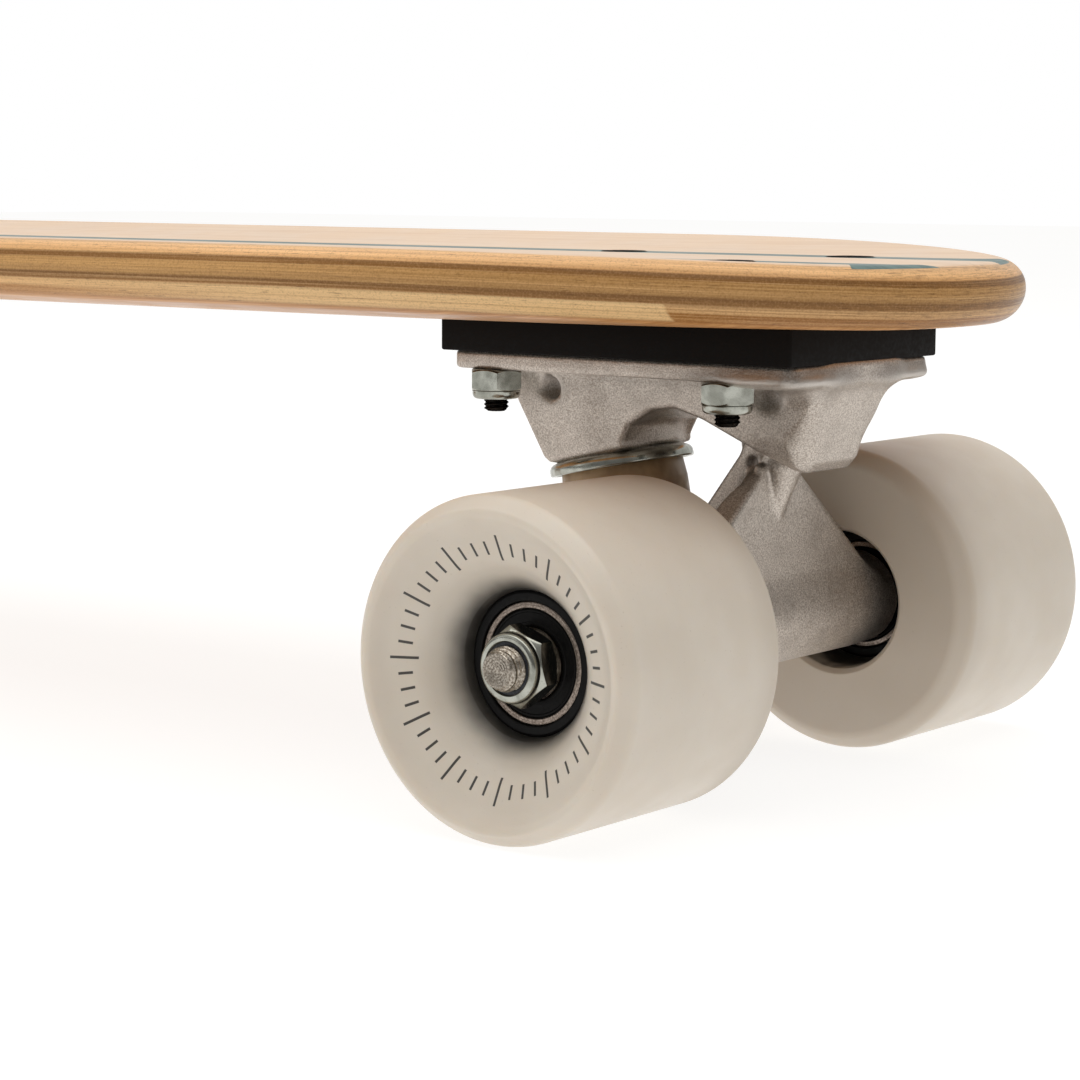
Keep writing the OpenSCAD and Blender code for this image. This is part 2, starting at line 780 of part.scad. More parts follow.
deck();
locknut_inserts();
front_riser_pad();
front_baseplate();
front_mounting_bolts();
front_mounting_nuts();
front_kingpin();
front_kingpin_nut();
front_kingpin_washers();
front_upper_bushing();
front_lower_bushing();
front_pivot_cup();
rear_riser_pad();
rear_baseplate();
rear_mounting_bolts();
rear_mounting_nuts();
rear_kingpin();
rear_kingpin_nut();
rear_kingpin_washers();
rear_upper_bushing();
rear_lower_bushing();
rear_pivot_cup();
front_hanger();
front_axle();
front_axle_nuts();
front_axle_nut_inserts();
front_axle_washers();
front_bearing_spacers();
front_bearing_inner_rings();
rear_hanger();
rear_axle();
rear_axle_nuts();
rear_axle_nut_inserts();
rear_axle_washers();
rear_bearing_spacers();
rear_bearing_inner_rings();
front_left_wheel();
front_left_wheel_core();
front_left_bearing_outer_rings();
front_left_bearing_seals();
front_right_wheel();
front_right_wheel_core();
front_right_bearing_outer_rings();
front_right_bearing_seals();
rear_left_wheel();
rear_left_wheel_core();
rear_left_bearing_outer_rings();
rear_left_bearing_seals();
rear_right_wheel();
rear_right_wheel_core();
rear_right_bearing_outer_rings();
rear_right_bearing_seals();
front_left_bearing_balls();
front_left_bearing_cages();
front_right_bearing_balls();
front_right_bearing_cages();
rear_left_bearing_balls();
rear_left_bearing_cages();
rear_right_bearing_balls();
rear_right_bearing_cages();
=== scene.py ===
import json
import math

import bpy
import numpy as np
from mathutils import Matrix, Vector


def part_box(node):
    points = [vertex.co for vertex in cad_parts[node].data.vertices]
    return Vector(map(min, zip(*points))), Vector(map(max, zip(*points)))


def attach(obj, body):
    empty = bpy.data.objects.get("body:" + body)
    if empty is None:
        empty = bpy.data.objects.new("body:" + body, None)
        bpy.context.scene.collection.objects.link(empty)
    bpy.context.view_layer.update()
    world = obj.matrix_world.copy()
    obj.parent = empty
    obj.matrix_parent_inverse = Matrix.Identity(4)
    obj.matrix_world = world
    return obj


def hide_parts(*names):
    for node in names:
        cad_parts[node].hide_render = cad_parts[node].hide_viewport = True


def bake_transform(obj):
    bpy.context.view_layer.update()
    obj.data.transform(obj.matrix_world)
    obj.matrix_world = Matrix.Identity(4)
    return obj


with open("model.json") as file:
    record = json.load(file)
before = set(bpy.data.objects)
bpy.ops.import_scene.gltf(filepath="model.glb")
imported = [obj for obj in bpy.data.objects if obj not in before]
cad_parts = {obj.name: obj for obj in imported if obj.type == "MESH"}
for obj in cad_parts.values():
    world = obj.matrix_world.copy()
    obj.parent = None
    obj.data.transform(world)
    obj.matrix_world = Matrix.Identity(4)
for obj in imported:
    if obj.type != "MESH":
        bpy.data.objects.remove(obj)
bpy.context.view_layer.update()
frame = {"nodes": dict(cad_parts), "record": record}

MM = 0.001
TINY = 1e-6


# ------------ places from the frame

def box_mid(node):
    low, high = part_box(node)
    return [(a + b) / 2 for a, b in zip(low, high)]


FRONT_AXLE = box_mid("front_axle")
REAR_AXLE = box_mid("rear_axle")
DECK_LOW, DECK_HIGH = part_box("deck")
NOSE_X = DECK_HIGH[0] / MM
TAIL_X = DECK_LOW[0] / MM
AXLE_Z = FRONT_AXLE[2] / MM

# Truck frame: origin at the axle's centre, X away from the middle of the board, millimetres
TRUCKS = {
    "front": Matrix.Translation(Vector(FRONT_AXLE)),
    "rear": Matrix.Translation(Vector(REAR_AXLE)) @ Matrix.Rotation(math.pi, 4, "Z"),
}

PLATE_TOP = 50.35
FLANGE_T = 3.45
RISER_T = 7.0
DECK_T = 11.4
DECK_BOTTOM = PLATE_TOP + RISER_T
DECK_TOP = DECK_BOTTOM + DECK_T
BOLT_MID_X, BOLT_HALF_X, BOLT_HALF_Y = -17.9, 26.99, 20.64
BOLTS = [(BOLT_MID_X + sx * BOLT_HALF_X, sy * BOLT_HALF_Y) for sx in (-1, 1) for sy in (-1, 1)]
BOLT_HOLE_R = 2.6
COUNTERSINK_R, COUNTERSINK_DEEP = 5.05, 2.6
TILT = math.radians(12)
STEER = math.radians(36)
# BOSS is where the kingpin leaves its boss. RING_AT and NUT_AT are distances down the pin from there.
BOSS = np.array([-30.2, 0.0, 30.2])
PIN_DIR = np.array([math.sin(TILT), 0.0, -math.cos(TILT)])
RING_AT, RING_HALF, RING_R = 18.6, 5.0, 17.0
NUT_AT = 34.0
RING_MID = BOSS + RING_AT * PIN_DIR
STEER_DIR = np.array([math.cos(STEER), 0.0, math.sin(STEER)])


# ------------ mesh building

def make_mesh(name, verts, faces, sharp=35.0):
    """A mesh from millimetre vertices, smooth except at edges sharper than the angle."""
    mesh = bpy.data.meshes.new(name)
    points = [tuple(float(c) * MM for c in v) for v in verts]
    mesh.from_pydata(points, [], [tuple(map(int, f)) for f in faces])
    mesh.polygons.foreach_set("use_smooth", [True] * len(mesh.polygons))
    mesh.set_sharp_from_angle(angle=math.radians(sharp))
    mesh.update()
    return mesh


def new_object(name, data):
    obj = bpy.data.objects.new(name, data)
    bpy.context.scene.collection.objects.link(obj)
    return obj


def put(name, shape, place, body, node, slot, attributes=None, sharp=35.0):
    """A piece at its place, riding on a body and standing for a CAD node, in its slot's material.

    The shape is a mesh, or (verts, faces). A piece given no body is left unattached."""
    mesh = shape if isinstance(shape, bpy.types.Mesh) else make_mesh(name, *shape, sharp)
    for key, values in (attributes or {}).items():
        layer = mesh.attributes.new(key, "FLOAT", "POINT")
        layer.data.foreach_set("value", np.asarray(values, np.float32))
    obj = new_object(name, mesh)
    obj.matrix_world = place
    mesh.materials.append(LOOKS[slot])
    bpy.context.view_layer.update()
    if body:
        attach(obj, body)
    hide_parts(node)
    return obj


def join(parts):
    """Several (verts, faces) as one."""
    verts, faces, start = [], [], 0
    for v, f in parts:
        verts.append(np.asarray(v, float))
        faces += [tuple(i + start for i in face) for face in f]
        start += len(v)
    return np.concatenate(verts), faces


def moved(part, matrix):
    """(verts, faces) carried by a matrix whose lengths are millimetres."""
    v, f = part
    m = np.array(matrix, float)
    v = np.asarray(v, float) @ m[:3, :3].T + m[:3, 3]
    return v, f


def no_repeats(*corners):
    """A face of these corners, a triangle where two of them are the same."""
    return tuple(dict.fromkeys(corners))


def polar(rows, count, loop=False):
    """A surface of rings, each (radius, height) or a function of the angles; loop closes it."""
    angles = np.arange(count) * 2 * math.pi / count
    verts, faces, rings = [], [], []
    for row in rows:
        r, z = row(angles) if callable(row) else row
        r = np.broadcast_to(np.asarray(r, float), (count,))
        z = np.broadcast_to(np.asarray(z, float), (count,))
        if np.all(r < TINY):
            rings.append([len(verts)] * count)
            verts.append((0.0, 0.0, float(z[0])))
        else:
            rings.append(range(len(verts), len(verts) + count))
            verts += list(zip(r * np.cos(angles), r * np.sin(angles), z))
    for a, b in zip(rings, rings[1:] + rings[:1] if loop else rings[1:]):
        for i in range(count):
            k = (i + 1) % count
            faces.append(no_repeats(a[i], b[i], b[k], a[k]))
    return np.array(verts), faces


def rounded(points, radii, steps=5):
    """A closed profile of (r, z) points, its corners rounded by one radius each, or 0 for none."""
    out = []
    n = len(points)
    for i, (p, radius) in enumerate(zip(points, radii)):
        if radius <= 0:
            out.append(tuple(p))
            continue
        a, b, c = (np.array(points[(i + step) % n], float) for step in (-1, 0, 1))
        u = (a - b) / np.linalg.norm(a - b)
        w = (c - b) / np.linalg.norm(c - b)
        half = math.acos(max(-1, min(1, float(u @ w)))) / 2
        room = 0.49 * min(np.linalg.norm(a - b), np.linalg.norm(c - b))
        cut = min(radius / math.tan(half), room)
        real = cut * math.tan(half)
        mid = b + (u + w) / np.linalg.norm(u + w) * real / math.sin(half)
        start, end = b + u * cut - mid, b + w * cut - mid
        turn = math.atan2(start[0] * end[1] - start[1] * end[0], float(start @ end))
        for k in range(steps + 1):
            t = turn * k / steps
            out.append((mid[0] + start[0] * math.cos(t) - start[1] * math.sin(t),
                        mid[1] + start[0] * math.sin(t) + start[1] * math.cos(t)))
    return out


def lathe(points, radii, count, steps=5):
    """A closed ring turned from a rounded profile, clockwise with r to the right and z up."""
    return polar(rounded(points, radii, steps), count, loop=True)


def hexagon(af):
    """Radius of a hexagon across its flats, as a function of the angle."""
    def radius(angles):
        return af / 2 / np.cos((angles + math.pi / 6) % (math.pi / 3) - math.pi / 6)
    return radius


def lock_nut(af, hex_h, collar_h, bore, insert_r):
    """A lock nut, af across its flats, with a rolled collar over its nylon ring. Z is up from its seat."""
    hexa = hexagon(af)
    flat = af / 2 * 0.975
    collar = af / 2 - 0.12
    top = hex_h + collar_h
    lip = insert_r - 0.35

    def chamfer(angles):
        return (hexa(angles) - flat) * math.tan(math.radians(30))

    rows = [
        (bore, 0.35), (bore + 0.35, 0.0), (flat - 0.25, 0.0), (flat, 0.08),
        lambda a: (hexa(a) - 0.06, 0.08 + chamfer(a)),
        lambda a: (hexa(a), 0.16 + chamfer(a)),
        lambda a: (hexa(a), hex_h - 0.12 - chamfer(a)),
        lambda a: (hexa(a) - 0.06, hex_h - 0.04 - chamfer(a)),
        (flat, hex_h - 0.02), (collar + 0.12, hex_h + 0.02), (collar, hex_h + 0.16),
        (collar, top - 0.95), (collar - 0.06, top - 0.62), (collar - 0.24, top - 0.3),
        (collar - 0.52, top - 0.08), (collar - 0.85, top), (lip + 0.2, top - 0.03),
        (lip, top - 0.2), (lip, top - 0.42),
        (insert_r, top - 0.42), (insert_r, hex_h), (bore, hex_h),
    ]
    return polar(rows[::-1], 96, loop=True)


def thread_rows(r, pitch, depth, z0, z1, per_turn=8, taper=0.0):
    """Rings of a screw thread between two heights, its crest narrowing by the taper over the run."""
    steps = max(2, int(abs(z1 - z0) / pitch * per_turn))
    rows = []
    for i in range(steps + 1):
        z = z0 + (z1 - z0) * i / steps
        grow = min(1.0, abs(z - z0) / pitch)
        crest = r - taper * i / steps

        def row(a, z=z, grow=grow, crest=crest):
            phase = (z / pitch - a / (2 * math.pi)) % 1.0
            tooth = np.clip(np.abs(phase - 0.5) * 2.5 - 0.15, 0, 1)
            return crest - depth * grow * (1 - tooth), np.full_like(a, z)
        rows.append(row)
    return rows


def boolean_cut(mesh, cutter_mesh):
    """The mesh without what is inside the cutter."""
    a, b = new_object("cut_a", mesh), new_object("cut_b", cutter_mesh)
    mod = a.modifiers.new("cut", "BOOLEAN")
    mod.operation = "DIFFERENCE"
    mod.solver = "EXACT"
    mod.object = b
    bpy.context.view_layer.update()
    depsgraph = bpy.context.evaluated_depsgraph_get()
    result = bpy.data.meshes.new_from_object(a.evaluated_get(depsgraph))
    bpy.data.objects.remove(a)
    bpy.data.objects.remove(b)
    result.materials.clear()
    return result


def mesh_arrays(mesh):
    """A mesh's vertices in millimetres, and its faces."""
    v = np.empty(len(mesh.vertices) * 3, np.float64)
    mesh.vertices.foreach_get("co", v)
    return v.reshape(-1, 3) / MM, [tuple(p.vertices) for p in mesh.polygons]


# ------------ distance fields for the castings

# Rooms and bores that the fields leave open for other pieces
PIN_HOLE_R, PIN_HEAD_R, PIN_HEAD_TO = 4.86, 8.6, 12.4
PIVOT_HOLE_R, PIVOT_R = 7.0, 4.97
BUSH_ROOM_R, RING_HOLE_R, AXLE_HOLE_R = 12.75, 7.5, 4.0


def smooth_min(a, b, k):
    """The lower of two fields, blended over the width k where they meet."""
    h = np.clip(0.5 + 0.5 * (b - a) / k, 0, 1)
    return b + (a - b) * h - k * h * (1 - h)


def smooth_max(a, b, k):
    return -smooth_min(-a, -b, k)


def carve(d, *bores):
    """A field with others taken away."""
    for bore in bores:
        d = np.maximum(d, -bore)
    return d


def edged(a, b, r):
    """Where two half spaces meet, with the edge rounded."""
    a, b = a + r, b + r
    return np.minimum(np.maximum(a, b), 0) + np.hypot(np.maximum(a, 0), np.maximum(b, 0)) - r


def polygon_field(x, z, points):
    """Signed distance to a polygon, negative inside."""
    best = np.full(np.shape(x), 1e9)
    inside = np.zeros(np.shape(x), bool)
    for (ax, az), (bx, bz) in zip(points, points[1:] + points[:1]):
        ex, ez = bx - ax, bz - az
        wx, wz = x - ax, z - az
        t = np.clip((wx * ex + wz * ez) / (ex * ex + ez * ez), 0, 1)
        best = np.minimum(best, (wx - ex * t) ** 2 + (wz - ez * t) ** 2)
        slope = ex / (ez if abs(ez) > TINY else TINY)
        inside ^= ((az > z) != (bz > z)) & (x < slope * (z - az) + ax)
    return np.where(inside, -1, 1) * np.sqrt(best)


def along(x, y, z, start, direction):
    """Distance along an axis in the XZ plane, and distance from it."""
    dx, dz = x - start[0], z - start[2]
    s = dx * direction[0] + dz * direction[2]
    r = np.sqrt(np.maximum(dx * dx + y * y + dz * dz - s * s, 0))
    return s, r


def bar(x, y, z, a, b, ra, rb, ha, hb, edge=1.2):
    """A bar across the truck from a to b in the XZ plane, with radii ra, rb and half widths ha, hb."""
    ex, ez = b[0] - a[0], b[1] - a[1]
    t = np.clip(((x - a[0]) * ex + (z - a[1]) * ez) / (ex * ex + ez * ez), 0, 1)
    radial = np.hypot(x - a[0] - ex * t, z - a[1] - ez * t) - (ra + (rb - ra) * t)
    lean = math.cos(math.atan2(abs(hb - ha), math.hypot(ex, ez)))
    side = (np.abs(y) - (ha + (hb - ha) * t)) * lean
    return edged(radial, side, edge)


# Side view (x, z) of the baseplate's web: kingpin boss, arch and pivot boss
WEB = [
    (-51.2, 49.5), (-46.7, 39.8), (-40.5, 29.2), (-39.2, 28.3), (-21.0, 32.2), (-21.1, 33.6),
    (-19.5, 36.8), (-14.4, 39.8), (-9.3, 40.5), (-2.9, 38.7), (6.9, 34.5), (12.4, 31.4),
    (15.2, 29.9), (17.6, 29.6), (19.4, 31.6), (21.0, 37.4), (22.8, 43.4), (24.2, 49.5),
]
DIMPLES_X = (-38.0, 12.4)


def ease(a, b, v):
    """0 below a, 1 above b, and a smooth step between."""
    t = np.clip((v - a) / (b - a), 0, 1)
    return t * t * (3 - 2 * t)


def oval(x, y, z, centre, size):
    """How far out of an oval each point is, as a share of its size: 1 on its surface."""
    return np.sqrt(sum(((p - c) / w) ** 2 for p, c, w in zip((x, y, z), centre, size)))


def baseplate_field(x, y, z):
    """The baseplate: flange with ears, web, kingpin boss, pivot bore, dimples and holes."""
    ay = np.abs(y)
    plan = edged(np.abs(x + 14.1) - 39.4, ay - 24.2, 3.0)
    flange = edged(plan, np.abs(z - PLATE_TOP + FLANGE_T / 2) - FLANGE_T / 2, 0.8)
    ear = (oval(x, ay, z, (17.0, 16.5, 47.2), (8.5, 8.0, 1.5)) - 1) * 1.3
    flange = smooth_min(flange, ear, 1.6)
    end = ease(6, 16, x)
    edge = 1.3 + end * (1.0 + 3.6 * ease(42, 34, z))
    flare = 0.03 * (PLATE_TOP - FLANGE_T - z)
    web = edged(polygon_field(x, z, WEB), ay - (12.3 - flare), edge)
    s, r = along(x, y, z, BOSS, PIN_DIR)
    boss = edged(edged(r - (12.2 - 0.1 * s), s, 0.8), z - PLATE_TOP + 1, 0.4)
    d = smooth_min(flange, web, 1.5 + 3.0 * end)
    d = smooth_min(d, boss, 2.2)
    for at in DIMPLES_X:
        hollow = oval(x, ay, z, (at, 12.7, 43.2), (3.0, 1.5, 2.4))
        d = smooth_max(d, -(hollow - 1) * 1.4, 0.9)
    head = np.maximum(edged(r - PIN_HEAD_R, -s - 40, 0.1), s + PIN_HEAD_TO)
    d = carve(d, np.where(s > -30, r - PIN_HOLE_R, 9), head)
    t, q = along(x, y, z, RING_MID, STEER_DIR)
    pivot = edged(edged(q - PIVOT_HOLE_R, t - 53, 0.2), 25 - t, 0.2)
    pivot = np.maximum(pivot, np.where(t > 44, d + 1.2, -99))
    d = smooth_max(d, -pivot, 0.5)
    return carve(d, *(np.hypot(x - bx, ay - by) - BOLT_HOLE_R for bx, by in BOLTS if by > 0))


def rod(x, y, z, a, b, ra, rb):
    """A round rod between two points, its radius running from one end to the other."""
    e = np.array(b, float) - np.array(a, float)
    x, y, z = x - a[0], y - a[1], z - a[2]
    t = np.clip((x * e[0] + y * e[1] + z * e[2]) / (e @ e), 0, 1)
    far = np.sqrt((x - e[0] * t) ** 2 + (y - e[1] * t) ** 2 + (z - e[2] * t) ** 2)
    return far - ra - (rb - ra) * t


def hanger_field(x, y, z):
    """The hanger: axle barrel, wing, rib, web, kingpin ring, pivot stem and bushing rooms."""
    ay = np.abs(y)
    r = np.hypot(x, z)
    d = edged(r - (9.6 - 0.3 * np.clip((ay - 33) / 7, 0, 1)), ay - 40.9, 0.9)
    wing = bar(x, y, z, (3.0, 0), (5.4, 29), 4.8, 1.9, 42.2, 6.5, 1.0)
    d = smooth_min(d, wing, 2.5)
    rib = bar(x, y, z, (4.9, 33.0), (-8.5, 14.0), 2.5, 3.0, 4.9, 4.9, 0.9)
    d = smooth_min(d, rib, 0.8)
    d = smooth_min(d, rod(x, y, z, (5.6, 0, 19.5), (7.4, 0, 29.7), 1.6, 4.2), 0.7)
    web = bar(x, y, z, (-26.3, 12.0), (-1.0, 1.5), 3.9, 8.0, 13.5, 17.0, 2.0)
    d = smooth_min(d, web, 3.0)
    s, q = along(x, y, z, BOSS, PIN_DIR)
    ring = edged(q - RING_R, np.abs(s - RING_AT) - RING_HALF, 1.1)
    d = smooth_min(d, ring, 2.2)
    t, p = along(x, y, z, RING_MID, STEER_DIR)
    stem = np.hypot(p, t - np.clip(t, 38, 46.5)) - PIVOT_R
    d = smooth_min(d, stem, 1.4)
    groove = rod(x, ay, z, (4.4, 5.6, 30.6), (-1.0, 17.5, 17.0), 1.35, 1.0)
    d = smooth_max(d, -groove, 0.5)
    across = (x - BOSS[0]) * math.cos(TILT) + (z - BOSS[2]) * math.sin(TILT)
    return carve(
        d, r - AXLE_HOLE_R,
        np.maximum(q - BUSH_ROOM_R, s - 15.6),
        np.maximum(q - RING_HOLE_R, np.maximum(13.0 - s, s - 24.2)),
        np.maximum(q - BUSH_ROOM_R, 21.6 - s),
        np.maximum(np.hypot(across, y / 1.4) - 13.6, 23.6 - s),
    )


def slope_of(field, verts, h):
    """The field's gradient at each vertex, from steps of h to both sides."""
    ends = [field(*(verts + d).T) - field(*(verts - d).T) for d in np.eye(3) * h]
    return np.stack(ends, 1) / (2 * h)


def net(field, low, high, step):
    """Quads over the zero level of a field, by surface nets, with each vertex then moved onto it."""
    low, high = np.array(low, float), np.array(high, float)
    n = np.ceil((high - low) / step).astype(int) + 1
    ax = [low[i] + step * np.arange(n[i]) for i in range(3)]
    f = field(*np.meshgrid(*ax, indexing="ij"))
    inside = f < 0
    cells = tuple(n - 1)
    total = np.zeros(cells + (3,))
    count = np.zeros(cells)
    for axis in range(3):
        u, v = [i for i in range(3) if i != axis]
        a = np.take(f, range(n[axis] - 1), axis)
        b = np.take(f, range(1, n[axis]), axis)
        cut = (a < 0) != (b < 0)
        part = np.where(cut, a / np.where(cut, a - b, 1), 0)
        grid = np.indices(cut.shape).astype(float)
        grid[axis] += part
        for du in (0, 1):
            for dv in (0, 1):
                sl = [slice(None)] * 3
                sl[u] = slice(du, du + n[u] - 1)
                sl[v] = slice(dv, dv + n[v] - 1)
                hit = cut[tuple(sl)]
                for c in range(3):
                    total[..., c] += np.where(hit, grid[c][tuple(sl)], 0)
                count += hit
    active = count > 0
    index = np.full(cells, -1)
    index[active] = np.arange(active.sum())
    verts = low + step * total[active] / count[active][:, None]
    faces = []
    for axis in range(3):
        u, v = (axis + 1) % 3, (axis + 2) % 3
        sl_a = [slice(None)] * 3
        sl_b = [slice(None)] * 3
        sl_a[axis], sl_b[axis] = slice(0, n[axis] - 1), slice(1, n[axis])
        for k in (u, v):
            sl_a[k] = sl_b[k] = slice(1, n[k] - 1)
        ia, ib = inside[tuple(sl_a)], inside[tuple(sl_b)]
        at = np.argwhere(ia != ib)
        flip = ia[tuple(at.T)]
        at[:, u] += 1
        at[:, v] += 1

        def cell(du, dv):
            q = at.copy()
            q[:, u] -= du
            q[:, v] -= dv
            return index[tuple(q.T)]
        quad = np.stack([cell(1, 1), cell(0, 1), cell(0, 0), cell(1, 0)], 1)
        quad[~flip] = quad[~flip][:, ::-1]
        faces.append(quad)
    for _ in range(4):
        grad = slope_of(field, verts, 0.04)
        size = np.maximum((grad ** 2).sum(1), 0.2)
        verts = verts - np.clip(field(*verts.T) / size, -0.3, 0.3)[:, None] * grad
    return verts, np.concatenate(faces)


# Reach of the painted shade in hollows, and depth of the wear on edges, in millimetres.
PAINTED_SHADE_REACH, EDGE_DEPTH = 3.0, 0.55


def casting(field, low, high, step):
    """A casting as (verts, faces), with how hollow it is at each vertex, for painted shade in hollows, and
    how sharp, for wear on edges.
    """
    verts, faces = net(field, low, high, step * (1))
    grad = slope_of(field, verts, 0.05)
    normal = grad / np.maximum(np.linalg.norm(grad, axis=1), 1e-9)[:, None]
    # Painted shade: how hollow each vertex is, from the field a little way outside it.
    cavity = 1 - np.clip(field(*(verts + normal * PAINTED_SHADE_REACH).T) / PAINTED_SHADE_REACH, 0, 1)
    edge = 1 - np.clip(-field(*(verts - normal * EDGE_DEPTH).T) / EDGE_DEPTH, 0, 1)
    return (verts, faces), {"cavity": cavity, "edge": edge}


# ------------ materials

def linear(colour):
    """A linear colour from the six hex digits of a display colour."""
    shares = [int(colour[i:i + 2], 16) / 255 for i in (0, 2, 4)]
    return (*(c / 12.92 if c <= 0.04045 else ((c + 0.055) / 1.055) ** 2.4 for c in shares), 1.0)


class Nodes:
    """A node tree being built, on one kind of texture coordinates."""

    def __init__(self, owner, coords):
        owner.use_nodes = True
        self.tree = owner.node_tree
        self.coords = self.node("TexCoord").outputs[coords]

    def link(self, value, socket):
        """Feed a socket from another one, or set it to a plain value or a colour in hex digits."""
        if isinstance(value, bpy.types.NodeSocket):
            self.tree.links.new(value, socket)
        else:
            socket.default_value = linear(value) if isinstance(value, str) else value

    def node(self, kind, values=None, **settings):
        """A new node with its settings, and its inputs linked or set."""
        node = self.tree.nodes.new("ShaderNode" + kind)
        for key, value in settings.items():
            setattr(node, key, value)
        for key, value in (values or {}).items():
            self.link(value, node.inputs[key])
        return node

    def math(self, op, a, b=0.0, c=None):
        values = {0: a, 1: b} if c is None else {0: a, 1: b, 2: c}
        return self.node("Math", values, operation=op).outputs[0]

    def add(self, a, b):
        return self.math("ADD", a, b)

    def minus(self, a, b):
        return self.math("SUBTRACT", a, b)

    def times(self, first, *rest):
        """The product of two or more values."""
        for value in rest:
            first = self.math("MULTIPLY", first, value)
        return first

    def ramp(self, value, low, high, to_low=0.0, to_high=1.0):
        """The value's eased share of the way from low to high, carried to the other range."""
        values = {"Value": value, "From Min": low, "From Max": high, "To Min": to_low, "To Max": to_high}
        return self.node("MapRange", values, interpolation_type="SMOOTHSTEP").outputs["Result"]


class Look(Nodes):
    """A node material being built. The sockets given by name are uniform over the surface."""

    def __init__(self, name, **sockets):
        self.material = bpy.data.materials.new(name)
        super().__init__(self.material, "Object")
        self.shader = self.tree.nodes["Principled BSDF"]
        for key, value in sockets.items():
            self.set(key.replace("_", " "), value)

    def set(self, name, value):
        self.link(value, self.shader.inputs[name])

    def noise(self, scale, detail=3.0, rough=0.5, source=None, distort=0.0):
        values = {"Vector": source or self.coords, "Scale": scale, "Detail": detail,
                  "Roughness": rough, "Distortion": distort}
        return self.node("TexNoise", values).outputs["Fac"]

    def streaks(self, detail, rough, scales, source=None):
        """Noise with its own scale along each axis."""
        values = {"Vector": source or self.coords, "Scale": scales}
        return self.noise(1.0, detail, rough, self.node("Mapping", values).outputs["Vector"])

    def wander(self, noise, size):
        """The noise as an offset to both sides of nought, over the size in all."""
        return self.times(self.minus(noise, 0.5), size)

    def mix(self, factor, a, b):
        values = {"Factor": factor, "A": a, "B": b}
        return self.node("Mix", values, data_type="RGBA").outputs[2]

    def tint(self, base, colour, value, low, high, share=1.0):
        """The base with up to a share of another colour, as the value goes from low to high."""
        return self.mix(self.ramp(value, low, high, 0.0, share), base, colour)

    def stops(self, value, stops):
        """The colour at a value, between (position, colour) stops."""
        node = self.node("ValToRGB", {"Fac": value})
        elements = node.color_ramp.elements
        for i, (position, colour) in enumerate(stops):
            element = elements[i] if i < 2 else elements.new(position)
            element.position, element.color = position, linear(colour)
        return node.outputs["Color"]

    def attribute(self, name):
        return self.node("Attribute", attribute_name=name).outputs["Fac"]

    def vector(self, x, y, z):
        return self.node("CombineXYZ", {0: x, 1: y, 2: z}).outputs["Vector"]

    def xyz(self):
        return self.node("SeparateXYZ", {0: self.coords}).outputs[:3]

    def radius(self, x, y):
        """Distance from the Z axis."""
        return self.math("SQRT", self.add(self.times(x, x), self.times(y, y)))

    def done(self, base, mark, low, high, top=0.7):
        """The material in this colour, its roughness going from low to high with the mark."""
        self.set("Base Color", base)
        self.set("Roughness", self.ramp(mark, 0.3, top, low, high))
        return self.material

    def bump(self, height, strength, distance, after=None):
        values = {"Strength": strength, "Distance": distance, "Height": height}
        if after is not None:
            values["Normal"] = after
        out = self.node("Bump", values).outputs["Normal"]
        self.set("Normal", out)
        return out


# Sizes that the looks draw, in metres. TURNED_RINGS is in radians to the metre.
TURNED_RINGS = 16000.0
TICKS = 48
TICK_FROM, TICK_TO, TICK_HALF_W = 0.0198, 0.0222, 0.00021
FOURTH_IN, FOURTH_OUT = 0.0010, 0.0012
STRIPE_FROM, STRIPE_TO = 0.0146, 0.0267
NOSE_AT = NOSE_X * MM
BUTT_JOINT_X = 0.3125


def cast_look():
    """Tumbled cast aluminium: a fine warm-grey grain, darker in hollows with painted shade, and brighter
    on worn edges.
    """
    k = Look("cast_aluminium", Metallic=0.85)
    grain = k.noise(3300, 3, 0.65)
    broad = k.noise(190, 4, 0.55)
    pits = k.noise(900, 3, 0.6)
    base = k.mix(k.ramp(grain, 0.38, 0.64), "a4998f", "d6cdc3")
    base = k.tint(base, "8c8279", broad, 0.4, 0.68, 0.25)
    base = k.tint(base, "685e56", pits, 0.62, 0.72, 0.25)
    # Painted shade in the hollows of the casting.
    base = k.tint(base, "3e3630", k.attribute("cavity"), 0.15, 0.85, 0.75)
    base = k.tint(base, "e2dbd3", k.attribute("edge"), 0.1, 0.6, 0.55)
    first = k.bump(grain, 0.4, 0.0002)
    k.bump(k.noise(700, 3, 0.55), 0.22, 0.0004, first)
    return k.done(base, grain, 0.32, 0.46)


def zinc_look(name, colour, dark, rough):
    """Bright zinc plate with faint clouding and handling marks."""
    k = Look(name, Metallic=1.0)
    cloud = k.noise(300, 3, 0.5, distort=0.3)
    fine = k.noise(2600, 2, 0.6)
    base = k.mix(k.ramp(cloud, 0.35, 0.7), colour, dark)
    k.bump(fine, 0.06, 0.00006)
    return k.done(k.tint(base, "605c54", fine, 0.6, 0.74, 0.3), cloud, rough, rough + 0.12, 0.75)


def black_steel_look():
    """Black oxide steel, a little grey where it has rubbed, and dull at a low angle."""
    k = Look("black_steel", Metallic=1.0, Specular_Tint=(0.12, 0.12, 0.12, 1))
    fine = k.noise(2400, 3, 0.6)
    k.bump(fine, 0.2, 0.00008)
    return k.done(k.mix(k.ramp(fine, 0.4, 0.75), "221f1d", "3a3530"), fine, 0.32, 0.52)


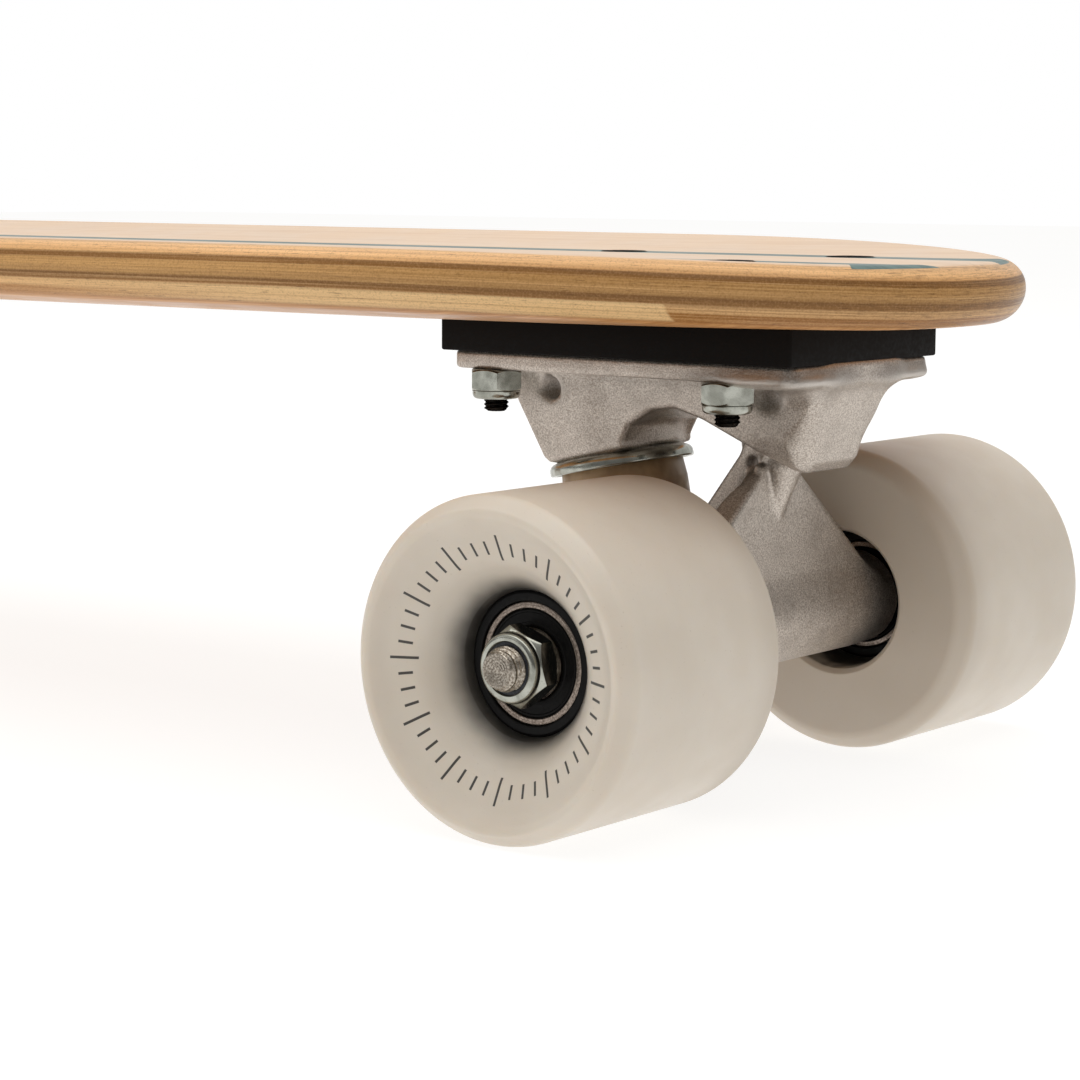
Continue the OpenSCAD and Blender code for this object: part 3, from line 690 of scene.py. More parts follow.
def turned_look(name, colour, dark, rough=0.26):
    """Steel turned on a lathe, with rings round its own axis."""
    k = Look(name, Metallic=1.0)
    x, y, _ = k.xyz()
    r = k.add(k.radius(x, y), k.times(k.noise(500, 2), 0.0002))
    wave = k.math("SINE", k.times(r, TURNED_RINGS))
    cloud = k.noise(2600, 3, 0.65)
    base = k.mix(k.ramp(cloud, 0.38, 0.62), colour, dark)
    k.bump(k.add(k.times(wave, 0.25), cloud), 0.2, 0.00008)
    return k.done(k.tint(base, "58524c", wave, -1.0, 1.0, 0.3), cloud, rough, rough + 0.16)


def rubber_look(name, colour, light, rough, scale, gloss):
    """Moulded rubber or plastic with a fine matt skin and a little dust."""
    k = Look(name, Specular_IOR_Level=gloss)
    skin = k.noise(scale, 3, 0.6)
    dust = k.noise(5200, 2, 0.5)
    base = k.mix(k.ramp(skin, 0.35, 0.75), colour, light)
    k.bump(skin, 0.22, 0.00015)
    base = k.tint(base, "504b44", dust, 0.72, 0.82, 0.2)
    return k.done(base, skin, rough - 0.08, rough + 0.12)


def bushing_look():
    """Cast urethane, amber, cloudy and slightly see-through."""
    k = Look("bushing_urethane", Subsurface_Weight=0.25, Subsurface_Scale=0.002,
             Subsurface_Radius=(1.0, 0.6, 0.3))
    cloud = k.noise(260, 3, 0.5)
    base = k.mix(k.ramp(cloud, 0.3, 0.75), "b0926c", "927450")
    k.bump(k.noise(1400, 2), 0.12, 0.00012)
    return k.done(base, cloud, 0.32, 0.48)


def wheel_look():
    """Cream urethane, with a dark bloom round the core where it shows through on the outer face, painted
    shade in the core's recess and on the inner face, and a ring of fine marks on the outer face.
    """
    k = Look("wheel_urethane", Subsurface_Weight=0.35, Subsurface_Scale=0.004,
             Subsurface_Radius=(1.0, 0.75, 0.5))
    x, y, z = k.xyz()
    r = k.radius(x, y)
    cloud = k.noise(70, 3, 0.5)
    speck = k.noise(2300, 2, 0.5)
    base = k.mix(k.ramp(cloud, 0.3, 0.7), "d7cdbf", "d3c8b9")
    # Painted shade: the inner face, toward the truck, is darker.
    base = k.tint(base, "ac9d8b", z, -0.012, -0.0236, 0.5)
    base = k.tint(base, "a69884", speck, 0.68, 0.78, 0.3)

    # On the outer face the dark core shows through the urethane as a soft halo. On the inner side the same
    # ramp is painted shade on the wall of the core's recess.
    outside = k.ramp(z, 0.0, 0.001)
    reach = k.math("MULTIPLY_ADD", outside, 0.0028, 0.0144)
    start = k.math("MULTIPLY_ADD", outside, -0.0006, 0.0135)
    soft = k.add(r, k.wander(k.noise(180, 2), 0.0012))
    core_halo_and_recess_shade = k.math("POWER", k.ramp(soft, start, reach, 0.96, 0.0), 1.3)
    base = k.mix(core_halo_and_recess_shade, base, "141211")

    # The marks are half a step from each whole number. Every fourth is longer.
    angle = k.add(k.times(k.math("ARCTAN2", y, x), TICKS / (2 * math.pi)), 100.5)
    off = k.math("ABSOLUTE", k.minus(k.math("FRACT", angle), 0.5))
    across = k.times(off, r, 2 * math.pi / TICKS)
    line = k.ramp(across, TICK_HALF_W, TICK_HALF_W + 0.00007, 1.0, 0.0)
    fourth = k.math("LESS_THAN", k.math("MODULO", k.math("FLOOR", angle), 4.0), 0.5)
    inner = k.minus(TICK_FROM, k.times(fourth, FOURTH_IN))
    outer = k.add(TICK_TO, k.times(fourth, FOURTH_OUT))
    span = k.times(k.ramp(r, inner, k.add(inner, 0.00008)),
                   k.ramp(r, outer, k.add(outer, 0.00008), 1.0, 0.0))
    face = k.math("GREATER_THAN", z, 0.004)
    base = k.mix(k.times(line, span, face, 0.93), base, "181616")

    turned = k.streaks(2, 0.5, (120, 120, 2600))
    k.bump(k.add(k.times(turned, 0.6), speck), 0.06, 0.00012)
    return k.done(base, cloud, 0.38, 0.5)


def ply_colours(k, x, y, layer, sheet):
    """The plies by depth, browner toward the nose, with a light board in the lowest one on one side."""
    plies = k.stops(layer, [
        (0.0, "f6c690"), (0.20, "f4be82"), (0.235, "e2aa6e"), (0.262, "885e32"), (0.35, "9a6c3a"),
        (0.375, "ce9e62"), (0.50, "d8a86c"), (0.59, "c6985e"), (0.615, "865e34"), (0.70, "a27644"),
        (0.725, "e8ba82"), (0.83, "e0b078"), (0.85, "aa7640"), (1.0, "b47c44"),
    ])
    slow = k.streaks(2, 0.5, (6, 6, 9), sheet)
    toward = k.ramp(x, NOSE_AT - 0.16, NOSE_AT - 0.01)
    plies = k.mix(k.times(k.ramp(layer, 0.24, 0.3), toward, 0.3), plies, "704c28")
    plies = k.tint(plies, "7a5834", slow, 0.35, 0.68, 0.22)
    board = k.times(k.ramp(x, 0.15, 0.26), k.ramp(x, BUTT_JOINT_X, BUTT_JOINT_X + 0.0007, 1, 0),
                    k.math("LESS_THAN", y, 0.0))
    low = k.times(k.ramp(layer, 0.715, 0.73), k.ramp(layer, 0.93, 0.98, 1, 0))
    return k.mix(k.times(board, low, 0.75), plies, "f0cc96")


def stain_mask(k, x, y, depth):
    """Where the deck's top is stained: two stripes, and a tapered patch near the nose on one side."""
    rag = k.wander(k.streaks(3, 0.6, (60, 900, 900)), 0.0006)
    side = k.add(k.math("ABSOLUTE", y), rag)
    stripe = k.times(k.ramp(side, STRIPE_FROM, STRIPE_FROM + 0.0003),
                     k.ramp(side, STRIPE_TO - 0.0003, STRIPE_TO, 1, 0), k.ramp(depth, 0.045, 0.055, 1, 0))
    start = k.math("MULTIPLY_ADD", k.minus(side, 0.020), 0.9, NOSE_AT - 0.018)
    turn = k.math("MAXIMUM", k.minus(x, NOSE_AT - 0.009), 0.0)
    inside = k.math("MULTIPLY_ADD", turn, -1.13, 0.0148)
    rim = k.ramp(x, NOSE_AT - 0.010, NOSE_AT - 0.004, 0.082, 0.055)
    patch = k.times(k.ramp(k.minus(x, start), 0.0, 0.0003), k.ramp(k.minus(side, inside), 0.0, 0.0003),
                    k.ramp(k.minus(rim, depth), 0.0, 0.01), k.math("LESS_THAN", y, 0.0))
    return k.math("MAXIMUM", stripe, patch)


def wood_look():
    """Clear-coated deck: a pale veneer with a stained pattern, over plies that show along its edge.

    The depth attribute is the share of the thickness below the top."""
    k = Look("deck_wood", Coat_Weight=0.16, Coat_Roughness=0.16, Specular_IOR_Level=0.08)
    x, y, _ = k.xyz()
    depth = k.attribute("depth")
    sheet = k.vector(x, y, depth)
    wobble = k.streaks(2, 0.5, (14, 14, 2.5), sheet)
    layer = k.add(depth, k.wander(wobble, 0.03))
    plies = ply_colours(k, x, y, layer, sheet)

    grain = k.streaks(5, 0.62, (9, 9, 34), sheet)
    fine = k.streaks(4, 0.6, (60, 60, 95), sheet)
    pores = k.streaks(2, 0.5, (240, 240, 62), sheet)
    speck = k.noise(2600, 2, 0.6)
    wood = k.tint(plies, "704c28", grain, 0.36, 0.68, 0.34)
    wood = k.tint(wood, "f0c68e", grain, 0.5, 0.28, 0.4)
    wood = k.tint(wood, "583a1e", fine, 0.56, 0.72, 0.35)
    wood = k.tint(wood, "462d19", pores, 0.64, 0.72, 0.5)
    wood = k.tint(wood, "704c28", speck, 0.5, 0.66, 0.24)
    wood = k.tint(wood, "e2b682", speck, 0.5, 0.36, 0.10)
    end_grain = k.ramp(k.streaks(3, 0.6, (300, 300, 60), sheet), 0.5, 0.66)
    ends = k.times(k.ramp(x, NOSE_AT - 0.02, NOSE_AT - 0.002), end_grain, 0.4)
    wood = k.mix(ends, wood, "4e341e")

    low_grain = k.streaks(5, 0.65, (10, 520, 1))
    low_fine = k.streaks(3, 0.6, (90, 1900, 1))
    under = k.mix(k.ramp(low_grain, 0.34, 0.68), "cc9862", "a4703e")
    under = k.tint(under, "744c28", low_fine, 0.58, 0.74, 0.4)
    wood = k.mix(k.ramp(depth, 0.95, 0.985), wood, under)

    veneer = k.ramp(k.streaks(4, 0.6, (14, 420, 420)), 0.35, 0.7)
    streaks = k.streaks(3, 0.6, (80, 1900, 1900))
    top = k.mix(veneer, "e5c9ad", "ddbea0")
    top = k.tint(top, "ac8460", streaks, 0.6, 0.75, 0.25)
    wood = k.mix(k.ramp(layer, 0.012, 0.05, 1, 0), wood, top)
    stain = k.mix(veneer, "627c78", "4a6462")
    first = k.bump(grain, 0.1, 0.0002)
    k.bump(pores, 0.08, 0.00012, first)
    return k.done(k.mix(stain_mask(k, x, y, depth), wood, stain), fine, 0.3, 0.44)


def floor_look():
    """A pale sweep that glows a little, as one lit from below."""
    k = Look("floor", Roughness=0.9, Specular_IOR_Level=0.0, Emission_Color=(1, 0.995, 0.985, 1),
             Emission_Strength=0.84)
    k.set("Base Color", k.mix(k.noise(4, 2), (0.24, 0.24, 0.24, 1), (0.26, 0.26, 0.26, 1)))
    return k.material


# The finish of each material slot in the record
LOOKS = {
    "wood": wood_look(),
    "cast_aluminium": cast_look(),
    "black_steel": black_steel_look(),
    "bushing_urethane": bushing_look(),
    "wheel_urethane": wheel_look(),
}
for look, slot, *finish in (
    (zinc_look, "zinc_steel", "b0b1a8", "8c8d84", 0.14),
    (turned_look, "axle_steel", "c4bcb0", "80766a"),
    (turned_look, "bearing_steel", "9e9187", "74685f"),
    (rubber_look, "riser_rubber", "0d0b0a", "161311", 0.7, 1300, 0.1),
    (rubber_look, "seal_rubber", "090808", "11100f", 0.5, 1800, 0.14),
    (rubber_look, "cup_urethane", "161616", "282624", 0.4, 1300, 0.25),
    (rubber_look, "core_plastic", "090808", "121110", 0.45, 900, 0.14),
    (rubber_look, "nylon", "282a2e", "424448", 0.42, 1500, 0.25),
):
    LOOKS[slot] = look(slot, *finish)


# ------------ deck

# The outline's ends are superellipses: how long each is, and its power
NOSE_ROUND, TAIL_ROUND = 116.0, 130.0
NOSE_POWER, TAIL_POWER = 2.15, 2.3
DECK_W = (DECK_HIGH[1] - DECK_LOW[1]) / MM
WIDEST_X = FRONT_AXLE[0] / MM - 249
CONCAVE, FLAT_HALF = 3.5, 37.0
KICK_FROM = REAR_AXLE[0] / MM - 34
KICK_RISE, KICK_BLEND = 22.0, 70.0
EDGE_R = DECK_T / 2


def side_half(x):
    """Half the width of the sides, before the ends' rounding."""
    return DECK_W / 2 - 0.9 * ((x - WIDEST_X) / 200) ** 2


def half_at(x):
    """Half the deck's width."""
    nose = (x - NOSE_X + NOSE_ROUND) / NOSE_ROUND
    tail = (TAIL_X + TAIL_ROUND - x) / TAIL_ROUND
    u = np.clip(np.where(x > 0, nose, tail), 0, 1)
    power = np.where(x > 0, NOSE_POWER, TAIL_POWER)
    return side_half(x) * np.maximum(0, 1 - u ** power) ** (1 / power)


def middle_z(x, y):
    """Height of the deck's middle layer: a shallow dish across, and the tail's kick."""
    k = half_at(x) / side_half(x)
    flat = FLAT_HALF * k
    rise = np.maximum(0, np.abs(y) - flat) / np.maximum(side_half(x) * k - flat, 1)
    d = np.maximum(0, KICK_FROM - x)
    run = KICK_FROM - TAIL_X
    slope = KICK_RISE / (run - KICK_BLEND / 2)
    tail = np.where(d < KICK_BLEND, slope * d * d / (2 * KICK_BLEND), slope * (d - KICK_BLEND / 2))
    return AXLE_Z + DECK_BOTTOM + DECK_T / 2 + CONCAVE * k * k * rise ** 2 + tail


def deck_outline(ends, sides):
    """Points of the left half of the outline from the nose tip to the tail tip."""
    a = np.linspace(0, math.pi / 2, ends)
    nose_x = NOSE_X - NOSE_ROUND * (1 - np.cos(a) ** (2 / NOSE_POWER))
    tail_x = TAIL_X + TAIL_ROUND * (1 - np.cos(a[::-1]) ** (2 / TAIL_POWER))
    nose_y = side_half(nose_x) * np.sin(a) ** (2 / NOSE_POWER)
    tail_y = side_half(tail_x) * np.sin(a[::-1]) ** (2 / TAIL_POWER)
    mid_x = np.linspace(nose_x[-1], tail_x[0], sides + 2)[1:-1]
    xs = np.concatenate([nose_x, mid_x, tail_x])
    ys = np.concatenate([nose_y, side_half(mid_x), tail_y])
    return np.stack([xs, ys], 1)


def deck_piece():
    """The board: a half-round edge of rings, with a grid inside each, and countersunk holes."""
    half = deck_outline(56, 84)
    loop = np.concatenate([half, (half[1:-1] * [1, -1])[::-1]])
    count = len(loop)
    tangent = np.roll(loop, -1, 0) - np.roll(loop, 1, 0)
    tangent /= np.linalg.norm(tangent, axis=1)[:, None]
    inward = np.stack([-tangent[:, 1], tangent[:, 0]], 1)
    verts, faces, rings = [], [], []
    bends = 14

    def ring(depth, up):
        p = loop + inward * depth
        h = math.sqrt(max(0, EDGE_R ** 2 - (EDGE_R - depth) ** 2))
        rings.append(len(verts))
        verts.extend(np.column_stack([p, middle_z(p[:, 0], p[:, 1]) + up * h]))

    for i in range(-bends, bends + 1):
        ring(EDGE_R * (1 - math.sin(math.pi / 2 * (bends - abs(i)) / bends)), 1 if i <= 0 else -1)
    for a, b in zip(rings[:-1], rings[1:]):
        for j in range(count):
            k = (j + 1) % count
            faces.append((a + j, a + k, b + k, b + j))
    across = 44
    last = len(half) - 1
    for start, up in ((rings[0], 1), (rings[-1], -1)):
        rows = [[start] * (across + 1)]
        for i in range(1, last):
            a, b = verts[start + i], verts[start + count - i]
            rows.append([start + i, *range(len(verts), len(verts) + across - 1), start + count - i])
            for k in range(1, across):
                x, y = a[:2] * (1 - k / across) + b[:2] * (k / across)
                verts.append((x, y, float(middle_z(x, y)) + up * EDGE_R))
        rows.append([start + last] * (across + 1))
        for one, two in zip(rows[:-1], rows[1:]):
            for k in range(across):
                faces.append(no_repeats(one[k], two[k], two[k + 1], one[k + 1])[::up])
    mesh = make_mesh("deck_board", verts, faces, 60)
    holes = []
    for place in TRUCKS.values():
        offset = np.array(place.translation) / MM
        turn = np.array(place)[:3, :3]
        for bx, by in BOLTS:
            p = turn @ np.array([bx, by, 0]) + offset
            rows = [(0, DECK_BOTTOM - 1), (BOLT_HOLE_R, DECK_BOTTOM - 1),
                    (BOLT_HOLE_R, DECK_TOP - COUNTERSINK_DEEP), (COUNTERSINK_R, DECK_TOP),
                    (COUNTERSINK_R, DECK_TOP + 1), (0, DECK_TOP + 1)]
            v, f = polar(rows, 40)
            holes.append((v + p, [t[::-1] for t in f]))
    mesh = boolean_cut(mesh, make_mesh("deck_cutter", *join(holes)))
    v, _ = mesh_arrays(mesh)
    depth = np.clip((middle_z(v[:, 0], v[:, 1]) + EDGE_R - v[:, 2]) / DECK_T, 0, 1)
    put("deck_board", mesh, Matrix.Identity(4), "board", "deck", "wood", {"depth": depth})


# ------------ truck pieces

BOLT_R, PIN_R, AXLE_R = 2.41, 4.76, 3.97
PIN_AF = 14.3


def pin_place(s):
    """Z runs down the kingpin, from s millimetres below its boss."""
    p = BOSS + s * PIN_DIR
    turn = Matrix.Rotation(math.pi - TILT, 4, "Y")
    return Matrix.Translation(Vector(p * MM)) @ turn


def side_place(side, out=0.0):
    """Z runs outwards along the axle, from a distance out on one side."""
    return Matrix.Translation((0, side * out, 0)) @ Matrix.Rotation(-side * math.pi / 2, 4, "X")


def riser_pad():
    """The pad, with slightly rounded edges and corners."""
    x0, x1, half, corner = -54.9, 25.7, 25.6, 0.7
    outline = []
    for sx, sy, start in ((1, 1, 0), (-1, 1, 90), (-1, -1, 180), (1, -1, 270)):
        mx, my = (x1 - corner if sx > 0 else x0 + corner), sy * (half - corner)
        for i in range(5):
            c, s = math.cos(math.radians(start + 90 * i / 4)), math.sin(math.radians(start + 90 * i / 4))
            outline.append((mx + corner * c, my + corner * s, c, s))
    bevel = [(0, 0.35), (0.12, 0.12), (0.35, 0.0)]
    levels = [(PLATE_TOP + up, inset) for up, inset in bevel]
    levels += [(DECK_BOTTOM - up, inset) for up, inset in bevel[::-1]]
    verts = [(px - inset * nx, py - inset * ny, z) for z, inset in levels for px, py, nx, ny in outline]
    n = len(outline)
    faces = [(i * n + j, i * n + (j + 1) % n, (i + 1) * n + (j + 1) % n, (i + 1) * n + j)
             for i in range(len(levels) - 1) for j in range(n)]
    faces.append(tuple(range(n))[::-1])
    faces.append(tuple(range((len(levels) - 1) * n, len(levels) * n)))
    return verts, faces


def mounting_bolt():
    """A flat-head machine screw, threaded at its lower end, with a cross recess."""
    top = DECK_TOP + 0.2
    rows = [(0, top), (3.2, top), (4.4, top - 0.05), (4.68, top - 0.17), (4.74, top - 0.4),
            (BOLT_R, top - 2.8), (BOLT_R, 47.0)]
    rows += thread_rows(BOLT_R, 0.79, 0.34, 46.9, 39.2)
    rows += [(1.95, 38.95), (1.6, 38.7), (0, 38.7)]
    arms = []
    for z, size, width in ((top - 1.5, 1.0, 0.28), (top + 0.5, 2.75, 0.55)):
        for q in range(4):
            a = q * math.pi / 2 + 0.4
            c, s = math.cos(a), math.sin(a)
            for lx, ly in ((width, -width), (size, -width), (size, width)):
                arms.append((lx * c - ly * s, lx * s + ly * c, z))
    faces = [tuple(range(12))[::-1], tuple(range(12, 24))]
    faces += [(i, (i + 1) % 12, 12 + (i + 1) % 12, 12 + i) for i in range(12)]
    return mesh_arrays(boolean_cut(make_mesh("bolt", *polar(rows, 40)), make_mesh("recess", arms, faces)))


def kingpin():
    """The pin in its own frame, Z running down: hexagon head, shank, and thread below the nut."""
    hexa = hexagon(PIN_AF)
    rows = [(0, -17.6), (6.6, -17.6), lambda a: (hexa(a), -17.6 + (hexa(a) - 6.6) * 0.5),
            lambda a: (hexa(a), -12.5), (PIN_R, -12.4), (PIN_R, 31.0)]
    rows += thread_rows(PIN_R, 1.06, 0.42, 31.2, 42.2)
    rows += [(4.1, 42.7), (3.6, 43.0), (0, 43.0)]
    return polar(rows, 60)


def axle():
    """One half of the axle, Z running outwards from its middle: shank, thread and turned end."""
    rows = [(0, 0), (AXLE_R, 0), (AXLE_R, 66.8)]
    rows += thread_rows(AXLE_R, 1.06, 0.45, 67.0, 74.3, 10)
    rows += thread_rows(AXLE_R, 1.06, 0.4, 74.3, 75.7, 10, 0.62)[1:]
    rows += [(3.2, 75.95), (3.05, 76.12), (2.8, 76.18), (2.45, 76.1), (2.3, 76.18), (1.95, 76.1),
             (1.8, 76.18), (1.45, 76.1), (1.3, 76.17), (0.95, 76.09), (0.8, 76.16), (0.4, 76.08),
             (0, 76.12)]
    return polar(rows, 64)


def cup_washer(seat, rim):
    """A pressed washer: a flat seat and a rolled rim that turns towards +Z."""
    points = [(4.9, 0), (seat - 0.2, 0), (rim - 0.15, 0.9), (rim, 2.95), (rim - 0.9, 3.0),
              (rim - 1.3, 2.2), (seat + 0.1, 1.6), (4.9, 1.6)]
    return lathe(points[::-1], [0.1, 0.8, 0.4, 0.42, 0.42, 1.5, 2.0, 0.1], 128, 6)


def bushing(low, high, r_low, r_belly, r_high):
    """A urethane bushing between two heights, its side bulging under load."""
    tall = high - low
    points = [(4.96, low), (r_low, low), (r_belly, low + tall * 0.35), (r_belly, low + tall * 0.65),
              (r_high, high), (4.96, high)]
    return lathe(points[::-1], [0.3, 0.9, 3.0, 3.0, 0.9, 0.3], 96, 5)


def truck(end):
    """One truck's pieces, with the pad over it and its two wheels."""
    place, pin = TRUCKS[end], TRUCKS[end] @ pin_place(0)
    board, hanger = "board", end + "_truck"

    def add(piece, shape, where, body, node, slot, *more):
        return put(f"{end}_{piece}", shape, where, body, f"{end}_{node}", slot, *more)

    add("riser", riser_pad(), place, board, "riser_pad", "riser_rubber", None, 30)
    # Each casting carries painted shade for its hollows and wear for its edges.
    shape, shade_and_wear = casting(baseplate_field, (-55, -27, 25), (28, 27, 53), 0.62)
    add("plate", shape, place, board, "baseplate", "cast_aluminium", shade_and_wear, 50)
    shape, shade_and_wear = casting(hanger_field, (-47, -44, -12), (20, 44, 48), 0.7)
    add("arm", shape, place, hanger, "hanger", "cast_aluminium", shade_and_wear, 50)

    v, f = mounting_bolt()
    bolts = [(v + [bx, by, 0], f) for bx, by in BOLTS]
    add("bolts", join(bolts), place, board, "mounting_bolts", "black_steel")
    nut = lock_nut(9.5, 4.2, 1.6, 2.44, 3.5)
    nuts = []
    for i, (bx, by) in enumerate(BOLTS):
        m = Matrix.Translation((bx, by, PLATE_TOP - FLANGE_T)) @ Matrix.Rotation(math.pi, 4, "X")
        nuts.append(moved(nut, m @ Matrix.Rotation(0.35 + 1.1 * i, 4, "Z")))
    add("nuts", join(nuts), place, board, "mounting_nuts", "zinc_steel")

    add("pin", kingpin(), pin, board, "kingpin", "zinc_steel")
    nut = lock_nut(PIN_AF, 5.6, 2.0, 4.79, 5.9)
    add("pin_nut", nut, place @ pin_place(NUT_AT), board, "kingpin_nut", "zinc_steel")
    flip = Matrix.Translation((0, 0, NUT_AT)) @ Matrix.Rotation(math.pi, 4, "X")
    cups = [cup_washer(11.9, 14.3), moved(cup_washer(10.8, 12.6), flip)]
    add("cups", join(cups), pin, board, "kingpin_washers", "zinc_steel")
    for which, shape, fixed, moving in (("upper", bushing(1.6, 15.6, 11.9, 12.4, 11.9), 3.0, 14.6),
                                        ("lower", bushing(21.6, 32.4, 12.2, 11.9, 10.8), 31.0, 22.6)):
        obj = add("bush_" + which, shape, pin, None, which + "_bushing", "bushing_urethane")
        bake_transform(obj)

    halves = [moved(axle(), side_place(side)) for side in (1, -1)]
    add("shaft", join(halves), place, hanger, "axle", "axle_steel")
    nut = lock_nut(12.7, 4.4, 1.7, 4.0, 5.0)
    nuts = [moved(moved(nut, Matrix.Rotation(turn, 4, "Z")), side_place(side, 67.3))
            for turn, side in ((0.2, 1), (1.22, -1))]
    add("shaft_nuts", join(nuts), place, hanger, "axle_nuts", "zinc_steel")
    wheel(end + "_left", TRUCKS[end] @ side_place(1, WHEEL_Y * MM))
    wheel(end + "_right", TRUCKS[end] @ side_place(-1, WHEEL_Y * MM))


# ------------ wheels

# Z runs outwards from the wheel's middle. BEARING_AT is each bearing's inner side.
WHEEL_Y = 55.7
WHEEL_R, WHEEL_HALF, LIP = 30.4, 23.75, 3.0
BEARING_AT = (42.4 - WHEEL_Y, 59.4 - WHEEL_Y)
BEARING_W = 7
CORE_LOW, CORE_HIGH = BEARING_AT[0] - 0.4, BEARING_AT[1] + 7.4


def wheel(name, place):
    """A wheel's tyre and core, and the outer rings and seals of its two bearings."""
    n = 192

    def add(piece, shape, node, slot, *more):
        put(f"{name}_{piece}", shape, place, name + "_wheel_unit", f"{name}_{node}", slot, *more)

    top, r, lip = WHEEL_HALF, WHEEL_R, LIP * 0.9
    points = [(12.9, CORE_LOW), (12.9, CORE_HIGH), (13.5, CORE_HIGH + 1.5), (18.4, 18.6), (24.2, 21.4),
              (26.6, 23.45), (27.8, top), (r, top - lip), (r, -top + lip), (27.6, -top),
              (15.0, -top), (14.0, -top + 1.1), (13.3, CORE_LOW - 1.0)]
    radii = [0.0, 0.0, 0.5, 9.0, 14.0, 2.0, 2.2, 2.6, 2.6, 2.6, 0.5, 0.6, 0.3]
    add("tyre", lathe(points, radii, n, 8), "wheel", "wheel_urethane", None, 40)

    inner, outer = BEARING_AT
    points = [(9.5, inner + BEARING_W), (9.5, outer), (11.0, outer), (11.0, CORE_HIGH - 0.1),
              (11.25, CORE_HIGH), (12.35, CORE_HIGH), (12.88, CORE_HIGH - 0.35), (12.88, CORE_LOW + 0.35),
              (12.35, CORE_LOW), (11.25, CORE_LOW), (11.0, CORE_LOW + 0.1), (11.0, inner + BEARING_W)]
    hub = lathe(points, [0, 0, 0, 0.1, 0.1, 0.3, 0.3, 0.3, 0.3, 0.1, 0.1, 0], n, 3)
    add("hub", hub, "wheel_core", "core_plastic", None, 40)

    rings, seals = [], []
    for z in BEARING_AT:
        half = [(8.6, 0.82), (9.66, 0.82), (9.66, 0.15), (9.8, 0), (10.97, 0)]
        points = [half[0]] + [(x, BEARING_W - up) for x, up in half] + half[:0:-1]
        rings.append(lathe([(x, z + up) for x, up in points],
                           [0, 0, 0, 0.08, 0.1, 0.42, 0.42, 0.1, 0.08, 0], n, 4))
        points = [(6.5, 0), (6.5, 0.5), (6.8, 0.62), (7.15, 0.62), (7.3, 0.5), (8.9, 0.5), (9.05, 0.66),
                  (9.35, 0.66), (9.5, 0.45), (9.62, 0.4), (9.62, 0)]
        seal = lathe(points, [0] + [0.1] * 8 + [0, 0], n, 3)
        for at, turn in ((z + 0.8, math.pi), (z + BEARING_W - 0.8, 0)):
            seals.append(moved(seal, Matrix.Translation((0, 0, at)) @ Matrix.Rotation(turn, 4, "X")))
    add("races", join(rings), "bearing_outer_rings", "bearing_steel")
    add("shields", join(seals), "bearing_seals", "seal_rubber")


# ------------ build

slots = {s["node"]: s["material_slot"] for s in frame["record"]["subparts"]}
for node, obj in frame["nodes"].items():
    obj.data.materials.clear()
    obj.data.materials.append(LOOKS[slots[node]])

deck_piece()
truck("front")
truck("rear")


# ------------ stage, light and camera

def stage():
    """A floor of 12 m each way."""
    h = 6.0
    mesh = bpy.data.meshes.new("floor")
    mesh.from_pydata([(-h, -h, 0), (h, -h, 0), (h, h, 0), (-h, h, 0)], [], [(0, 1, 2, 3)])
    mesh.materials.append(floor_look())
    floor = new_object("floor", mesh)


def area(name, place, target, size, watts, colour):
    """An area light that points at its target."""
    data = bpy.data.lights.new(name, "AREA")
    data.shape = "RECTANGLE"
    data.size, data.size_y = size
    data.energy = watts
    data.color = colour
    obj = new_object(name, data)
    obj.location = place
    obj.rotation_euler = (Vector(target) - Vector(place)).to_track_quat("-Z", "Y").to_euler()


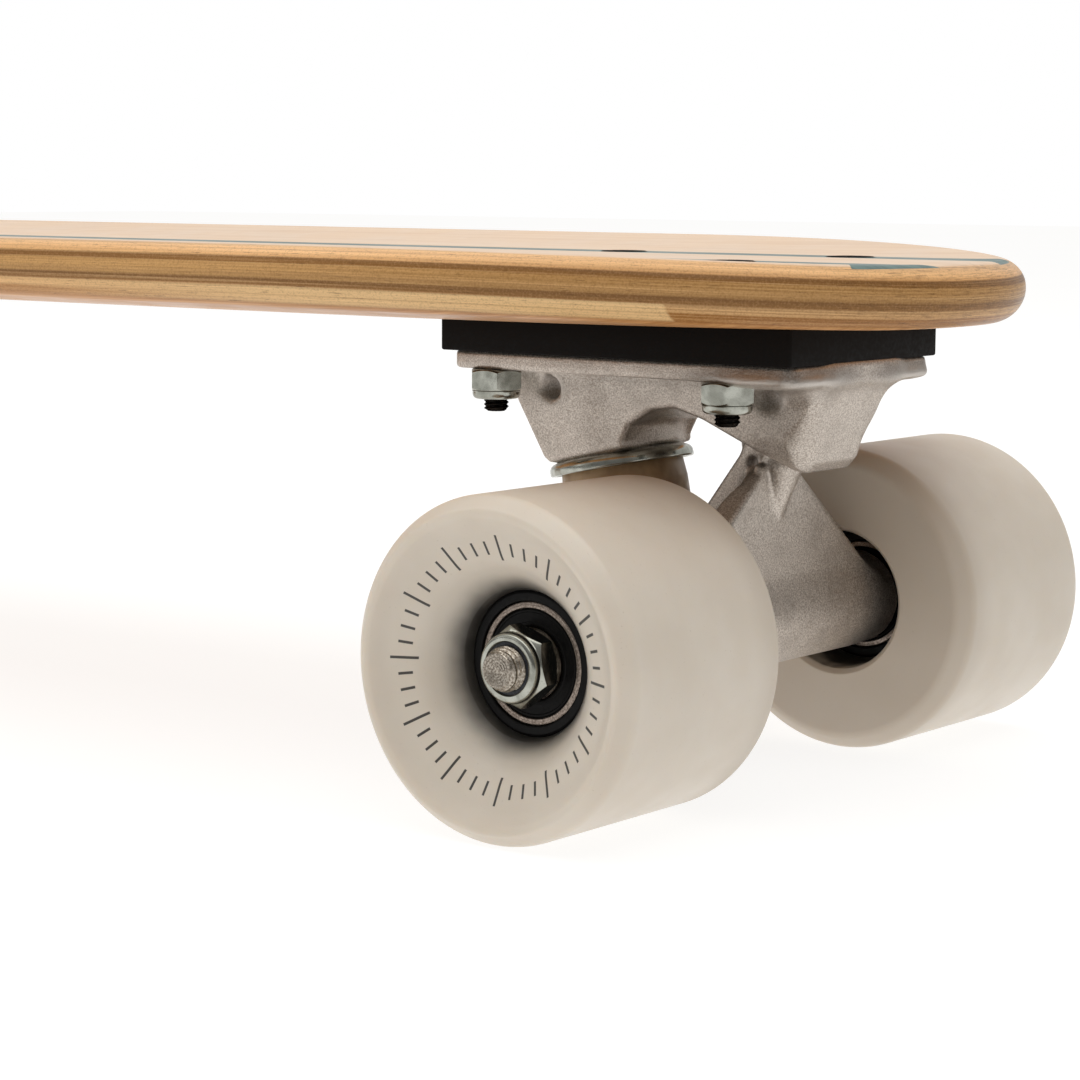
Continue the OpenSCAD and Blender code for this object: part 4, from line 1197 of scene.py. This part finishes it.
def lights():
    """A studio brighter overhead and toward the backdrop, white to the camera, and two area lights."""
    world = bpy.data.worlds.new("studio")
    bpy.context.scene.world = world
    k = Nodes(world, "Generated")
    level = 0.2
    backdrop, overhead = (-0.55, 0.83, 0.0), (0.0, 0.0, 1.0)
    for toward, low, high, gain in ((backdrop, -0.2, 0.9, 0.5), (overhead, 0.1, 1.0, 0.3)):
        dot = k.node("VectorMath", {0: k.coords, 1: toward}, operation="DOT_PRODUCT")
        level = k.add(level, k.ramp(dot.outputs["Value"], low, high, 0.0, gain))
    shade = k.tree.nodes["Background"]
    k.link((1.0, 0.995, 0.98, 1), shade.inputs["Color"])
    k.link(level, shade.inputs["Strength"])
    seen = k.node("Background", {"Color": (1, 1, 1, 1), "Strength": 1.0})
    ray = k.node("LightPath").outputs["Is Camera Ray"]
    mix = k.node("MixShader", {0: ray, 1: shade.outputs["Background"], 2: seen.outputs["Background"]})
    k.link(mix.outputs["Shader"], k.tree.nodes["World Output"].inputs["Surface"])
    area("key", (0.1, -0.2, 1.5), (0.1, 0, 0.05), (2.6, 1.8), 22, (1.0, 0.985, 0.96))
    area("left", (-0.9, -1.5, 0.7), (0.25, 0, 0.05), (1.2, 0.9), 2, (1.0, 0.98, 0.95))


# The viewpoint from the front axle's centre: 30 cm ahead, 45 cm to the right, and just above the deck
CAMERA_FROM_AXLE = (0.30026, -0.44952, 0.08361)
TURN_DOWN_ROLL = (37.93, 7.26, 0.33)
LENS, SENSOR = 94.92, 36


def camera():
    """The photograph's viewpoint."""
    az, down, roll = (math.radians(a) for a in TURN_DOWN_ROLL)
    ahead = Vector((-math.sin(az) * math.cos(down), math.cos(az) * math.cos(down), -math.sin(down)))
    level = Vector((math.cos(az), math.sin(az), 0))
    right = level * math.cos(roll) + level.cross(ahead) * math.sin(roll)
    data = bpy.data.cameras.new("camera")
    data.sensor_width = SENSOR
    data.lens = LENS
    data.clip_start = 0.01
    obj = new_object("camera", data)
    place = Matrix((right, right.cross(ahead), -ahead)).transposed().to_4x4()
    place.translation = Vector(FRONT_AXLE) + Vector(CAMERA_FROM_AXLE)
    obj.matrix_world = place
    bpy.context.scene.camera = obj


stage()
lights()
camera()
bpy.context.scene.view_settings.view_transform = "Standard"
